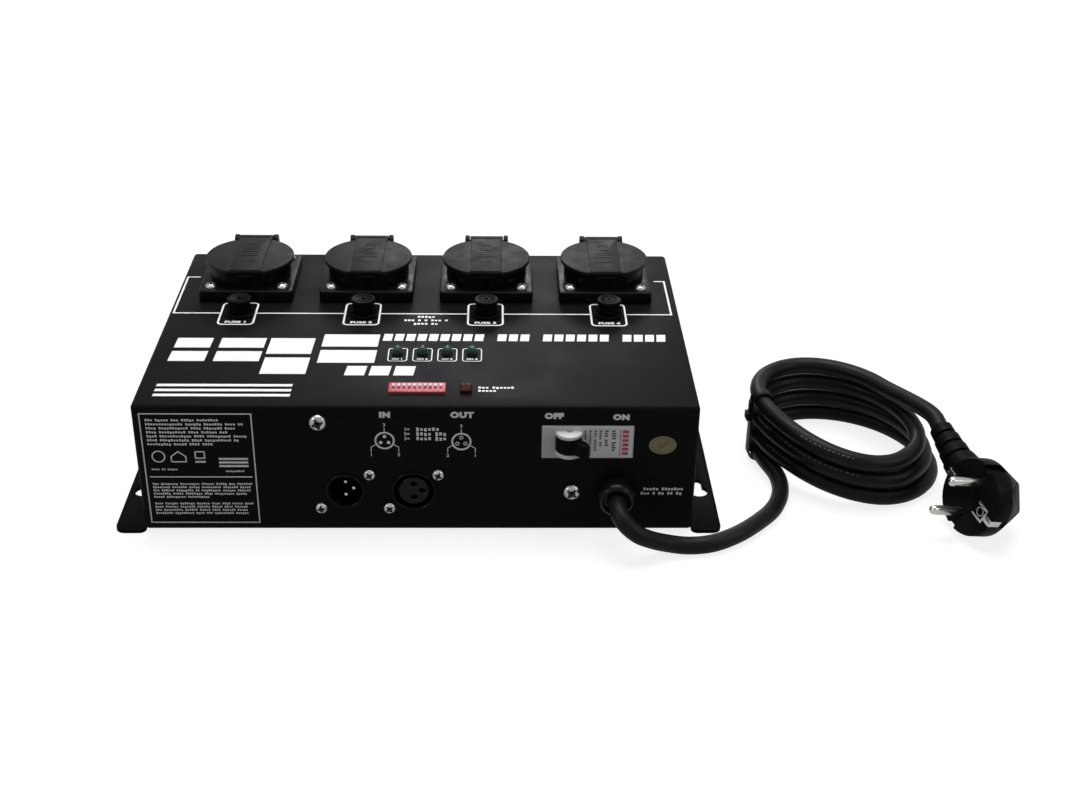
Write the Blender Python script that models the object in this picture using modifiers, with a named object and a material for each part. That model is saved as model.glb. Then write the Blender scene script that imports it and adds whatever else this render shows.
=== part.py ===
"""Four-channel DMX switch pack for stage lighting.

A folded sheet box stands on a base plate with screw-down ears. Four earthed sockets with spring lids,
four fuses, the channel lamps and the address switches are on top. The data plugs, the breaker and the
mains lead are on the front. Units are metres, +Z is up, +X is to the right and the front faces -Y. The
origin is on the ground, under the middle of the box.
"""

import math

import bmesh
import bpy
import numpy as np
from mathutils import Matrix, Vector

# Fits between pieces
CLEARANCE = 0.0003
CUT_OVERSHOOT = 0.001
CHANNELS = 4

# Socket with hinged lid, heights from the panel it stands on
SOCKET_FLANGE = 0.050
SOCKET_FLANGE_THICKNESS = 0.006
SOCKET_FLANGE_CORNER = 0.002
SOCKET_SCREW_PITCH = 0.038
SOCKET_SCREW_HOLE = 0.0017
SOCKET_WELL_RADIUS = 0.0197
SOCKET_WELL_DEPTH = 0.0175
SOCKET_WALL = 0.0021
SOCKET_RIM_HEIGHT = 0.0140
SOCKET_BODY_RADIUS = 0.0208
SOCKET_BODY_DEPTH = 0.0290
SOCKET_PIN_SPACING = 0.0190
SOCKET_PIN_HOLE = 0.00275
SOCKET_PIN_HOLE_DEPTH = 0.0200
SOCKET_RIB_WIDTH = 0.0046
SOCKET_RIB_DEPTH = 0.0015
EARTH_STRIP_WIDTH = 0.0070
EARTH_STRIP_THICKNESS = 0.0008
EARTH_ARM_HEIGHT = 0.0120
EARTH_ARM_BULGE = 0.0018
EARTH_KNEE_SHARE = 0.6

# Socket lid and its hinge
LID_RADIUS = 0.0237
LID_FRONT_CUT = 0.0213
LID_THICKNESS = 0.0022
LID_BAND_WIDTH = 0.0170
LID_BAND_RISE = 0.0005
LID_GASKET_RADIUS = 0.0182
LID_GASKET_WALL = 0.0016
LID_GASKET_DROP = 0.0010
HINGE_SETBACK = 0.0273
HINGE_DROP = 0.0013
HINGE_BARREL_RADIUS = 0.0036
HINGE_BARREL_LENGTH = 0.0184
HINGE_STUB_RADIUS = 0.0015
HINGE_CHEEK_RADIUS = 0.0040
HINGE_CHEEK_THICKNESS = 0.0025
HINGE_SLOT_LENGTH = 0.0165
HINGE_SLOT_WIDTH = 0.0012
HINGE_SLOT_SETBACK = 0.0034

# Fuse holder, cap and link, heights from the panel
FUSE_BODY_RADIUS = 0.0062
FUSE_BODY_DEPTH = 0.0360
FUSE_BEZEL_RADIUS = 0.0080
FUSE_BEZEL_THICKNESS = 0.0015
FUSE_CAP_RADIUS = 0.0065
FUSE_CAP_CHAMFER = 0.0004
FUSE_CAP_TOP = 0.0095
FUSE_NECK_RADIUS = 0.0044
FUSE_NECK_DEPTH = 0.0090
FUSE_CAP_SLOT = 0.0014
FUSE_LINK_RADIUS = 0.0026
FUSE_LINK_LENGTH = 0.0200
FUSE_LINK_TOP = -0.0020
FUSE_TAG_WIDTH = 0.0040
FUSE_TAG_LENGTH = 0.0060
FUSE_TAG_THICKNESS = 0.0008

# Rows on the top panel
SOCKET_SPACING = 0.0143
SIDE_MARGIN = 0.01355
SOCKET_TO_REAR = 0.0406
FUSE_TO_SOCKET = 0.0394
FRONT_TO_FUSE = 0.1000
FUSE_PITCH = 0.0648
LAMP_PITCH = 0.01245
LAMP_ROW_CENTRE = 0.00675
LAMP_FROM_FRONT = 0.0545
DIP_CENTRE = -0.0005
DIP_FROM_FRONT = 0.01725
STATUS_CENTRE = 0.0230
STATUS_FROM_FRONT = 0.01685

# Front panel, heights from the ground
GLAND_HEIGHT = 0.0245
BREAKER_ABOVE_GLAND = 0.0283
BREAKER_BELOW_TOP = 0.0192
GLAND_CENTRE = 0.09605
BREAKER_CENTRE = 0.0816
PLUG_HEIGHT = 0.0247
DMX_IN_CENTRE = -0.0357
DMX_OUT_CENTRE = -0.0024
UPPER_SCREW_CENTRE = -0.0471
UPPER_SCREW_BELOW_TOP = 0.0086
LOWER_SCREW_CENTRE = 0.0746

# Sheet metal
SHEET = 0.0015
BASE_SHEET = 0.0020
COVER_EDGE_RADIUS = 0.0020
COVER_FLANGE = 0.0120
EAR_WIDTH = 0.0150
EAR_OUTER_CORNER = 0.0045
EAR_INNER_CORNER = 0.0030
EAR_NOTCH = 0.0060
KEYHOLE_RADIUS = 0.0048
KEYHOLE_SLOT_WIDTH = 0.0045
KEYHOLE_SLOT_LENGTH = 0.0090
KEYHOLE_TO_EDGE = 0.0075
KEYHOLE_FROM_FRONT = 0.0362
KEYHOLE_SPACING = 0.0986
COVER_SCREW_HOLE = 0.0016
COVER_SCREW_SPREAD = 0.2200
COVER_SCREW_SETBACK = 0.0095

# Circuit board with relays, hung from the top panel
BOARD_WIDTH = 0.0780
BOARD_CENTRE = -0.0010
BOARD_FROM_FRONT = 0.0045
BOARD_LENGTH = 0.0590
BOARD_THICKNESS = 0.0016
BOARD_DROP = 0.0044
BOARD_POST_RADIUS = 0.0030
BOARD_POST_INSET = 0.0045
BOARD_BRACKET_WIDTH = 0.0130
BOARD_BRACKET_HEIGHT = 0.0140
RELAY_WIDTH = 0.0150
RELAY_LENGTH = 0.0190
RELAY_HEIGHT = 0.0155
RELAY_PITCH = 0.0180

# Address switches, lamps and status window
DIP_COUNT = 10
DIP_PITCH = 0.00254
DIP_LENGTH = 0.0274
DIP_WIDTH = 0.0093
DIP_RISE = 0.0012
DIP_SLOT_DEPTH = 0.0022
DIP_SLIDER_WIDTH = 0.0011
DIP_SLIDER_LENGTH = 0.0015
DIP_SLIDER_RISE = 0.0007
DIP_TRAVEL = 0.0018
LAMP_RADIUS = 0.0025
LAMP_RISE = 0.0046
LAMP_LENGTH = 0.0086
LAMP_FLANGE = 0.0004
LAMP_DOME_POINTS = 5
STATUS_WIDTH = 0.0054
STATUS_LENGTH = 0.0081
STATUS_RISE = 0.0017

# Mains transformer on the base plate
TRANSFORMER_CENTRE = -0.0880
TRANSFORMER_FROM_FRONT = 0.0470
CORE_WIDTH = 0.0420
CORE_HEIGHT = 0.0350
CORE_DEPTH = 0.0150
WINDING_WIDTH = 0.0270
WINDING_HEIGHT = 0.0240
WINDING_ROUNDING = 0.0030
WINDING_DEPTH = 0.0290
FOOT_LENGTH = 0.0580
FOOT_THICKNESS = 0.0012
FOOT_ROUNDING = 0.0030
FOOT_HOLE = 0.0018

# Data plugs, round, 3 contacts, heights along the panel's normal
XLR_FLANGE_WIDTH = 0.0310
XLR_FLANGE_HEIGHT = 0.0260
XLR_FLANGE_THICKNESS = 0.0020
XLR_FLANGE_CORNER = 0.0020
XLR_SCREW_ACROSS = 0.0120
XLR_SCREW_UP = 0.0095
XLR_SCREW_HOLE = 0.0016
XLR_RING_RISE = 0.0008
XLR_SHELL_DEPTH = 0.0240
XLR_IN_RADIUS = 0.0098
XLR_IN_BORE = 0.0082
XLR_OUT_RADIUS = 0.0110
XLR_OUT_BORE = 0.0097
XLR_OUT_CORE = 0.0075
XLR_BASE_FROM_FRONT = 0.0160
XLR_BASE_THICKNESS = 0.0070
XLR_PIN_RADIUS = 0.0012
XLR_PIN_LENGTH = 0.0130
XLR_PIN_UP = 0.0037
XLR_PIN_ACROSS = 0.0040
XLR_SOCKET_RADIUS = 0.0014
XLR_TAIL_LENGTH = 0.0050

# Breaker, across the front behind the panel
NOSE_WIDTH = 0.0442
NOSE_RISE = 0.0008
BREAKER_WIDTH = 0.0830
BREAKER_THICKNESS = 0.0177
BREAKER_DEPTH = 0.0610
SHOULDER_FROM_FRONT = 0.0075
TOGGLE_OFFSET = -0.0091
TOGGLE_AXIS_RISE = 0.0003
TOGGLE_DRUM_RADIUS = 0.0062
TOGGLE_DRUM_LENGTH = 0.0078
TOGGLE_STUB_RADIUS = 0.0010
TOGGLE_CHEEK_RADIUS = 0.0067
TOGGLE_CHEEK_THICKNESS = 0.0020
TOGGLE_LEVER_REACH = 0.0135
TOGGLE_LEVER_THICKNESS = 0.0042
TOGGLE_LEVER_ROUNDING = 0.0007
TOGGLE_LEVER_WIDTH = 0.0072
TOGGLE_REST_ANGLE = 40.0
RAIL_SHEET = 0.0015
RAIL_WIDTH = 0.0600
RAIL_TAB_WIDTH = 0.0180
RAIL_TAB_DROP = 0.0290
RAIL_UPTURN = 0.0120

# Cable gland and panel screws; a dome is given as shares of the radius and of the rise
GLAND_RADIUS = 0.00935
GLAND_RISE = 0.0102
GLAND_THREAD_RADIUS = 0.0080
GLAND_NUT_RADIUS = 0.0110
GLAND_NUT_THICKNESS = 0.0045
GLAND_DOME = ((0.66, 1.0), (0.88, 0.88), (1.0, 0.62))
PANEL_SCREW_HEAD = 0.00425
PANEL_SCREW_RISE = 0.0026
PANEL_SCREW_SHANK = 0.0020
PANEL_SCREW_LENGTH = 0.0090
PANEL_SCREW_DOME = ((0.6, 0.9), (1.0, 0.4))

# Mains lead: its free stretch from the gland to the coil, points chosen by hand
CORD_RADIUS = 0.0044
LEAD_STEP = 0.0180
LEAD_PIECES = 20
LEAD_END_RUN = 0.0040
LEAD_ROUTE = (
    (0.0961, -0.1005, 0.0245),
    (0.0962, -0.1060, 0.0241),
    (0.0990, -0.1118, 0.0208),
    (0.1050, -0.1140, 0.0158),
    (0.1125, -0.1117, 0.0108),
    (0.1210, -0.1088, 0.0068),
    (0.1310, -0.1076, 0.0047),
    (0.1430, -0.1055, 0.0045),
    (0.1560, -0.0980, 0.0045),
    (0.1680, -0.0870, 0.0045),
    (0.1780, -0.0745, 0.0045),
    (0.1838, -0.0600, 0.0045),
    (0.1850, -0.0480, 0.0050),
    (0.1838, -0.0395, 0.0055),
    (0.1812, -0.0314, 0.0058),
)

# Coil: three and a half oval loops wound clockwise, one above the other. Its angles are degrees
# round from one end of the oval, which is turned by the tilt and drifts to the left as it climbs
COIL_CENTRE = (0.2203, -0.0188)
COIL_HALF_LENGTH = 0.0480
COIL_HALF_WIDTH = 0.0397
COIL_TILT = -55.6
COIL_DRIFT = 0.0080
COIL_START = -65.0
COIL_END = 1175.0
COIL_POINTS_PER_LOOP = 24
COIL_PITCH = 0.0098
COIL_CLIMB_START = 184.0
COIL_CLIMB_END = 284.0
COIL_TIE_LIFT = 0.0015
COIL_LIFT_REACH = 70.0
TIE_ROUND = -58.0
TIE_THICKNESS = 0.0008
TIE_WIDTH = 0.0060

# Angled plug lying on its side: the middle of its face, and the ways its pins and earth clip point
PLUG_FACE = (0.2711, -0.0900, 0.0217)
PLUG_PINS = (-0.892, -0.364, 0.266)
PLUG_EARTH = (0.309, -0.923, -0.229)
PLUG_RADIUS = 0.0195
PLUG_CHAMFER = 0.0008
PLUG_RIM_DEPTH = 0.0100
PLUG_BACK_RADIUS = 0.0070
PLUG_DEPTH = 0.0280
PLUG_CORD_DEPTH = 0.0115
PLUG_NECK_ROOT = 0.0110
PLUG_NECK_REACH = 0.0260
PLUG_NECK_RADIUS = 0.0085
RELIEF_END = (0.2680, -0.0395, 0.0318)
RELIEF_ROOT_RADIUS = 0.0077
RELIEF_RADIUS = 0.0054
PLUG_PIN_SPACING = 0.0190
PLUG_PIN_RADIUS = 0.0024
PLUG_PIN_LENGTH = 0.0190
PLUG_PIN_SEAT = 0.0050
PLUG_EARTH_HOLE = 0.0105
PLUG_EARTH_HOLE_RADIUS = 0.00235
PLUG_EARTH_HOLE_DEPTH = 0.0080

# Facets of round shapes
FINE = 24
MEDIUM = 16
COARSE = 12
SCREW_FACETS = 8
SMOOTH_ANGLE = 35.0

# Places worked out from the sizes above
SOCKET_PITCH = SOCKET_FLANGE + SOCKET_SPACING
BOX_WIDTH = CHANNELS * SOCKET_FLANGE + (CHANNELS - 1) * SOCKET_SPACING + 2 * SIDE_MARGIN
BOX_DEPTH = FRONT_TO_FUSE + FUSE_TO_SOCKET + SOCKET_TO_REAR
BREAKER_HEIGHT = GLAND_HEIGHT + BREAKER_ABOVE_GLAND
BOX_HEIGHT = BREAKER_HEIGHT + BREAKER_BELOW_TOP
FRONT = -BOX_DEPTH / 2
REAR = BOX_DEPTH / 2
COVER_BOTTOM = BASE_SHEET + CLEARANCE
CEILING = BOX_HEIGHT - SHEET
PANEL_BACK = FRONT + SHEET
FUSE_ROW = FRONT + FRONT_TO_FUSE
SOCKET_ROW = FUSE_ROW + FUSE_TO_SOCKET
BOARD_TOP = CEILING - BOARD_DROP
BOARD_FRONT = PANEL_BACK + BOARD_FROM_FRONT
BOARD_REAR = BOARD_FRONT + BOARD_LENGTH
LID_UNDERSIDE = SOCKET_RIM_HEIGHT + CLEARANCE
HINGE_HEIGHT = LID_UNDERSIDE - HINGE_DROP
UPPER_SCREW_HEIGHT = BOX_HEIGHT - UPPER_SCREW_BELOW_TOP
COVER_SCREW_ROWS = (FRONT + COVER_SCREW_SETBACK, REAR - COVER_SCREW_SETBACK)
COVER_SCREW_COLUMNS = (-COVER_SCREW_SPREAD / 2, 0.0, COVER_SCREW_SPREAD / 2)

# Turns that stand a piece built on +Z up on the front panel, or its outline up along YZ or XZ
TO_FRONT = (math.pi / 2, 0.0, 0.0)
TO_SIDE = (math.pi / 2, 0.0, math.pi / 2)

# The scene starts empty
for old in list(bpy.data.objects):
    bpy.data.objects.remove(old, do_unlink=True)

PARTS = bpy.data.collections.new("dmx_switch_pack")
HELPERS = bpy.data.collections.new("cutters")
bpy.context.scene.collection.children.link(PARTS)
bpy.context.scene.collection.children.link(HELPERS)


def paint(name, colour, roughness, metallic=0.0):
    """A plain material of one colour."""
    made = bpy.data.materials.new(name)
    made.use_nodes = True
    shader = made.node_tree.nodes["Principled BSDF"]
    shader.inputs["Base Color"].default_value = (*colour, 1.0)
    shader.inputs["Roughness"].default_value = roughness
    shader.inputs["Metallic"].default_value = metallic
    made.diffuse_color = (*colour, 1.0)
    return made


POWDER_COAT = paint("black_powder_coat", (0.018, 0.018, 0.020), 0.55)
BLACK_PLASTIC = paint("black_plastic", (0.022, 0.022, 0.024), 0.50)
BLACK_RUBBER = paint("black_rubber", (0.020, 0.020, 0.021), 0.70)
GREY_PLASTIC = paint("grey_plastic", (0.50, 0.50, 0.48), 0.45)
WHITE_PLASTIC = paint("white_plastic", (0.80, 0.80, 0.78), 0.40)
RED_PLASTIC = paint("red_plastic", (0.30, 0.06, 0.05), 0.40)
GREEN_LENS = paint("green_lens", (0.20, 0.42, 0.10), 0.25)
BOARD_GREEN = paint("board_green", (0.02, 0.16, 0.06), 0.40)
GLASS = paint("fuse_glass", (0.75, 0.78, 0.78), 0.10)
NICKEL = paint("nickel", (0.62, 0.60, 0.57), 0.25, 1.0)
ZINC = paint("zinc", (0.55, 0.56, 0.57), 0.35, 1.0)
LAMINATION = paint("lamination", (0.30, 0.30, 0.31), 0.50, 1.0)

ROOT = bpy.data.objects.new("switch_pack", None)
PARTS.objects.link(ROOT)


def shade(mesh):
    """Smooth shading, with creases kept sharp."""
    mesh.shade_smooth()
    mesh.set_sharp_from_angle(angle=math.radians(SMOOTH_ANGLE))


def add_object(name, mesh, material=None, place=(0, 0, 0), turn=(0, 0, 0)):
    """A visible piece, or a hidden helper where there is no material."""
    made = bpy.data.objects.new(name, mesh)
    made.location = place
    made.rotation_euler = turn
    if material is None:
        made.hide_render = True
        made.display_type = "WIRE"
        HELPERS.objects.link(made)
        return made
    if not mesh.materials:
        mesh.materials.append(material)
    shade(mesh)
    made.parent = ROOT
    PARTS.objects.link(made)
    return made


def mesh_of(name, shape):
    mesh = bpy.data.meshes.new(name)
    shape.to_mesh(mesh)
    shape.free()
    return mesh


def add_box(shape, low, high):
    """Adds a box between two opposite corners."""
    size = Vector(high) - Vector(low)
    middle = (Vector(high) + Vector(low)) / 2
    place = Matrix.Translation(middle) @ Matrix.Diagonal((*size, 1.0))
    bmesh.ops.create_cube(shape, size=1.0, matrix=place)


def add_rod(shape, start, end, radius, segments, end_radius=None):
    """Adds a cylinder, or a cone where the end has its own radius."""
    way = Vector(end) - Vector(start)
    middle = (Vector(end) + Vector(start)) / 2
    turn = Vector((0, 0, 1)).rotation_difference(way).to_matrix().to_4x4()
    bmesh.ops.create_cone(
        shape,
        cap_ends=True,
        segments=segments,
        radius1=radius,
        radius2=radius if end_radius is None else end_radius,
        depth=way.length,
        matrix=Matrix.Translation(middle) @ turn,
    )


def boxes(name, pairs, material=None, place=(0, 0, 0), turn=(0, 0, 0)):
    """One object of separate boxes, each given by two opposite corners."""
    shape = bmesh.new()
    for low, high in pairs:
        add_box(shape, low, high)
    return add_object(name, mesh_of(name, shape), material, place, turn)


def rods(name, ends, radius, segments, material=None, place=(0, 0, 0), turn=(0, 0, 0)):
    """One object of separate cylinders of one radius, each given by its two ends."""
    shape = bmesh.new()
    for start, end in ends:
        add_rod(shape, start, end, radius, segments)
    return add_object(name, mesh_of(name, shape), material, place, turn)


def turned(name, profile, steps, material=None, place=(0, 0, 0), turn=(0, 0, 0)):
    """A round piece: the profile (radius, height) runs down its outer side, from the top."""
    shape = bmesh.new()
    points = [shape.verts.new((radius, 0.0, height)) for radius, height in profile]
    for upper, lower in zip(points, points[1:]):
        shape.edges.new((upper, lower))
    made = add_object(name, mesh_of(name, shape), material, place, turn)
    screw = made.modifiers.new("Turn", "SCREW")
    screw.steps = steps
    screw.render_steps = steps
    screw.use_merge_vertices = True
    screw.merge_threshold = 0.00001
    screw.use_smooth_shade = True
    settle(made)
    return made


def settle(made):
    """Takes the object's modifiers into its mesh, so that copies can share it."""
    graph = bpy.context.evaluated_depsgraph_get()
    mesh = bpy.data.meshes.new_from_object(made.evaluated_get(graph))
    made.modifiers.clear()
    made.data = mesh
    mesh.name = made.name
    shade(mesh)


def boolean(made, other, operation):
    """Cuts or joins a helper. The helper stays, hidden, with the cutters."""
    modifier = made.modifiers.new(f"{operation.title()} {other.name}", "BOOLEAN")
    modifier.operation = operation
    modifier.object = other
    modifier.solver = "EXACT"


def cut(made, *others):
    for other in others:
        boolean(made, other, "DIFFERENCE")


def join(made, *others):
    for other in others:
        boolean(made, other, "UNION")


def bevel(made, width, segments, limit=30.0):
    modifier = made.modifiers.new("Rounded edges", "BEVEL")
    modifier.width = width
    modifier.segments = segments
    modifier.limit_method = "ANGLE"
    modifier.angle_limit = math.radians(limit)


def rounded(corners, steps=3):
    """A closed outline of corners (x, y, radius), each turned with an arc of its radius."""
    points = []
    for index, (x, y, radius) in enumerate(corners):
        corner = Vector((x, y))
        before = (Vector(corners[index - 1][:2]) - corner).normalized()
        after = (Vector(corners[(index + 1) % len(corners)][:2]) - corner).normalized()
        if radius == 0:
            points.append((x, y))
            continue
        half = before.angle(after) / 2
        centre = corner + (before + after).normalized() * radius / math.sin(half)
        first = corner + before * radius / math.tan(half) - centre
        last = corner + after * radius / math.tan(half) - centre
        begin = math.atan2(first.y, first.x)
        sweep = (math.atan2(last.y, last.x) - begin + math.pi) % (2 * math.pi) - math.pi
        points += arc(centre, radius, begin, begin + sweep, steps)
    return points


def arc(centre, radius, begin, end, steps):
    """Points along an arc, both ends included; angles in radians."""
    angles = np.linspace(begin, end, steps + 1)
    return [(centre[0] + radius * math.cos(a), centre[1] + radius * math.sin(a)) for a in angles]


def circle(x, y, radius, segments):
    return arc((x, y), radius, 0.0, 2 * math.pi, segments)[:-1]


def rectangle(width, height, radius):
    """A rounded rectangle about the origin."""
    signs = ((-1, -1), (1, -1), (1, 1), (-1, 1))
    return rounded([(sx * width / 2, sy * height / 2, radius) for sx, sy in signs])


def plate(name, outlines, thickness, material=None, place=(0, 0, 0), turn=(0, 0, 0)):
    """A flat piece on z = 0: the first outline is its edge and the others are holes."""
    curve = bpy.data.curves.new(name, "CURVE")
    curve.dimensions = "2D"
    curve.fill_mode = "BOTH"
    curve.extrude = thickness / 2
    for outline in outlines:
        spline = curve.splines.new("POLY")
        spline.points.add(len(outline) - 1)
        for point, (x, y) in zip(spline.points, outline):
            point.co = (x, y, 0.0, 1.0)
        spline.use_cyclic_u = True
    flat = bpy.data.objects.new(name, curve)
    HELPERS.objects.link(flat)
    shape = bmesh.new()
    shape.from_mesh(mesh_from_curve(flat))
    bmesh.ops.translate(shape, verts=shape.verts, vec=(0.0, 0.0, thickness / 2))
    made = add_object(name, mesh_of(name, shape), material, place, turn)
    made.name = name
    return made


def mesh_from_curve(made):
    """The mesh of a curve object, its caps welded to its sides. The curve is removed."""
    graph = bpy.context.evaluated_depsgraph_get()
    mesh = bpy.data.meshes.new_from_object(made.evaluated_get(graph))
    shape = bmesh.new()
    shape.from_mesh(mesh)
    bmesh.ops.remove_doubles(shape, verts=shape.verts, dist=0.000001)
    bmesh.ops.recalc_face_normals(shape, faces=shape.faces)
    shape.to_mesh(mesh)
    shape.free()
    curve = made.data
    bpy.data.objects.remove(made, do_unlink=True)
    bpy.data.curves.remove(curve)
    return mesh


def tube(name, points, radius, resolution, material):
    """A round tube along world points."""
    curve = bpy.data.curves.new(name, "CURVE")
    curve.dimensions = "3D"
    curve.bevel_depth = radius
    curve.bevel_resolution = resolution
    curve.use_fill_caps = True
    spline = curve.splines.new("POLY")
    spline.points.add(len(points) - 1)
    for point, place in zip(spline.points, points):
        point.co = (*place, 1.0)
    made = bpy.data.objects.new(name, curve)
    HELPERS.objects.link(made)
    return add_object(name, mesh_from_curve(made), material)


def copies(first, stem, places):
    """The first piece of a row gets the first place, and copies that share its mesh get the others."""
    settle(first)
    for number, place in enumerate(places, 1):
        made = first if number == 1 else add_object(f"{stem}_{number}", first.data, first.data.materials[0])
        made.name = f"{stem}_{number}"
        made.location = place
        made.rotation_euler = first.rotation_euler


def row(pitch, centre, across, height, count=CHANNELS):
    """The places of a row of equal pieces along X."""
    return [(centre + (k - (count - 1) / 2) * pitch, across, height) for k in range(count)]


SOCKET_PLACES = row(SOCKET_PITCH, 0.0, SOCKET_ROW, BOX_HEIGHT)
FUSE_PLACES = row(FUSE_PITCH, 0.0, FUSE_ROW, BOX_HEIGHT)
LAMP_PLACES = row(LAMP_PITCH, LAMP_ROW_CENTRE, FRONT + LAMP_FROM_FRONT, BOX_HEIGHT)
SCREW_CORNER = SOCKET_SCREW_PITCH / 2
SCREW_CORNERS = [(sx * SCREW_CORNER, sy * SCREW_CORNER) for sx in (-1, 1) for sy in (-1, 1)]
XLR_SCREWS = ((XLR_SCREW_ACROSS, XLR_SCREW_UP), (-XLR_SCREW_ACROSS, -XLR_SCREW_UP))


def panel_holes():
    """What goes through the top panel: (x, y, radius, facets) of the round holes."""
    holes = []
    for x, y, _ in SOCKET_PLACES:
        holes.append((x, y, SOCKET_BODY_RADIUS + CLEARANCE, FINE))
        holes += [(x + dx, y + dy, SOCKET_SCREW_HOLE, SCREW_FACETS) for dx, dy in SCREW_CORNERS]
    holes += [(x, y, FUSE_BODY_RADIUS + CLEARANCE, MEDIUM) for x, y, _ in FUSE_PLACES]
    holes += [(x, y, LAMP_RADIUS + CLEARANCE, COARSE) for x, y, _ in LAMP_PLACES]
    return holes


def window(centre, from_front, width, length):
    """A window through the top panel, a clearance wider than what stands in it."""
    x = width / 2 + CLEARANCE
    y = length / 2 + CLEARANCE
    middle = FRONT + from_front
    low = (centre - x, middle - y, CEILING - CUT_OVERSHOOT)
    return low, (centre + x, middle + y, BOX_HEIGHT + CUT_OVERSHOOT)


def front_holes():
    """What goes through the front panel: (x, z, radius, facets) of the round holes."""
    holes = [(DMX_IN_CENTRE, PLUG_HEIGHT, XLR_IN_RADIUS + CLEARANCE, FINE)]
    holes.append((DMX_OUT_CENTRE, PLUG_HEIGHT, XLR_OUT_RADIUS + CLEARANCE, FINE))
    for centre in (DMX_IN_CENTRE, DMX_OUT_CENTRE):
        holes += [(centre + dx, PLUG_HEIGHT + dz, XLR_SCREW_HOLE, SCREW_FACETS) for dx, dz in XLR_SCREWS]
    holes.append((GLAND_CENTRE, GLAND_HEIGHT, GLAND_THREAD_RADIUS + CLEARANCE, MEDIUM))
    holes.append((UPPER_SCREW_CENTRE, UPPER_SCREW_HEIGHT, PANEL_SCREW_SHANK + CLEARANCE, COARSE))
    holes.append((LOWER_SCREW_CENTRE, PLUG_HEIGHT, PANEL_SCREW_SHANK + CLEARANCE, COARSE))
    return holes


def make_cover():
    """Folded sheet box, open below between a flange along the front and one along the rear."""
    half = BOX_WIDTH / 2
    inside = half - SHEET
    cover = boxes("cover", [((-half, FRONT, COVER_BOTTOM), (half, REAR, BOX_HEIGHT))], POWDER_COAT)
    bevel(cover, COVER_EDGE_RADIUS, 3)
    hollow = ((-inside, PANEL_BACK, COVER_BOTTOM + SHEET), (inside, REAR - SHEET, CEILING))
    mouth = (
        (-inside, FRONT + COVER_FLANGE, COVER_BOTTOM - CUT_OVERSHOOT),
        (inside, REAR - COVER_FLANGE, COVER_BOTTOM + SHEET + CUT_OVERSHOOT),
    )
    cut(cover, boxes("cover_hollow", [hollow]), boxes("cover_mouth", [mouth]))
    shape = bmesh.new()
    for x, y, radius, facets in panel_holes():
        below = CEILING - CUT_OVERSHOOT
        add_rod(shape, (x, y, below), (x, y, BOX_HEIGHT + CUT_OVERSHOOT), radius, facets)
    add_box(shape, *window(DIP_CENTRE, DIP_FROM_FRONT, DIP_LENGTH, DIP_WIDTH))
    add_box(shape, *window(STATUS_CENTRE, STATUS_FROM_FRONT, STATUS_WIDTH, STATUS_LENGTH))
    for x in COVER_SCREW_COLUMNS:
        for y in COVER_SCREW_ROWS:
            below = COVER_BOTTOM - CUT_OVERSHOOT
            above = COVER_BOTTOM + SHEET + CUT_OVERSHOOT
            add_rod(shape, (x, y, below), (x, y, above), COVER_SCREW_HOLE, SCREW_FACETS)
    top_cutters = add_object("panel_cutters", mesh_of("panel_cutters", shape))
    shape = bmesh.new()
    for x, z, radius, facets in front_holes():
        add_rod(shape, (x, FRONT - CUT_OVERSHOOT, z), (x, PANEL_BACK + CUT_OVERSHOOT, z), radius, facets)
    nose_x = NOSE_WIDTH / 2 + CLEARANCE
    nose_z = BREAKER_THICKNESS / 2 + CLEARANCE
    add_box(
        shape,
        (BREAKER_CENTRE - nose_x, FRONT - CUT_OVERSHOOT, BREAKER_HEIGHT - nose_z),
        (BREAKER_CENTRE + nose_x, PANEL_BACK + CUT_OVERSHOOT, BREAKER_HEIGHT + nose_z),
    )
    cut(cover, top_cutters, add_object("front_cutters", mesh_of("front_cutters", shape)))
    settle(cover)


def keyhole(x, y):
    """A round hole for a screw's head with a narrow slot towards the rear."""
    half = KEYHOLE_SLOT_WIDTH / 2
    lean = math.asin(half / KEYHOLE_RADIUS)
    quarter = math.pi / 2
    ring = arc((x, y), KEYHOLE_RADIUS, quarter + lean, 5 * quarter - lean, 14)
    return ring + arc((x, y + KEYHOLE_SLOT_LENGTH), half, 0.0, math.pi, 6)


def make_base_plate():
    """Flat plate with an ear along each side, drawn back under the cover's front and rear edges."""
    inner = BOX_WIDTH / 2
    outer = inner + EAR_WIDTH
    notch = BOX_DEPTH / 2 - EAR_NOTCH
    edge = []
    for sx, sy in ((-1, -1), (1, -1), (1, 1), (-1, 1)):
        corner = [
            (sx * outer, sy * BOX_DEPTH / 2, EAR_OUTER_CORNER),
            (sx * inner, sy * BOX_DEPTH / 2, EAR_INNER_CORNER),
            (sx * inner, sy * notch, 0.0),
        ]
        edge += corner if sx * sy > 0 else corner[::-1]
    holes = []
    for x in (-outer + KEYHOLE_TO_EDGE, outer - KEYHOLE_TO_EDGE):
        for y in (FRONT + KEYHOLE_FROM_FRONT, FRONT + KEYHOLE_FROM_FRONT + KEYHOLE_SPACING):
            holes.append(keyhole(x, y))
    for x in COVER_SCREW_COLUMNS:
        holes += [circle(x, y, COVER_SCREW_HOLE, SCREW_FACETS) for y in COVER_SCREW_ROWS]
    for side in (-1, 1):
        x = TRANSFORMER_CENTRE + side * foot_hole_offset()
        holes.append(circle(x, FRONT + TRANSFORMER_FROM_FRONT, FOOT_HOLE, SCREW_FACETS))
    plate("base_plate", [rounded(edge)] + holes, BASE_SHEET, POWDER_COAT)


def foot_hole_offset():
    """The screw's place in each foot, midway between the core and the foot's end."""
    return (CORE_WIDTH + FOOT_LENGTH) / 4


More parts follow.
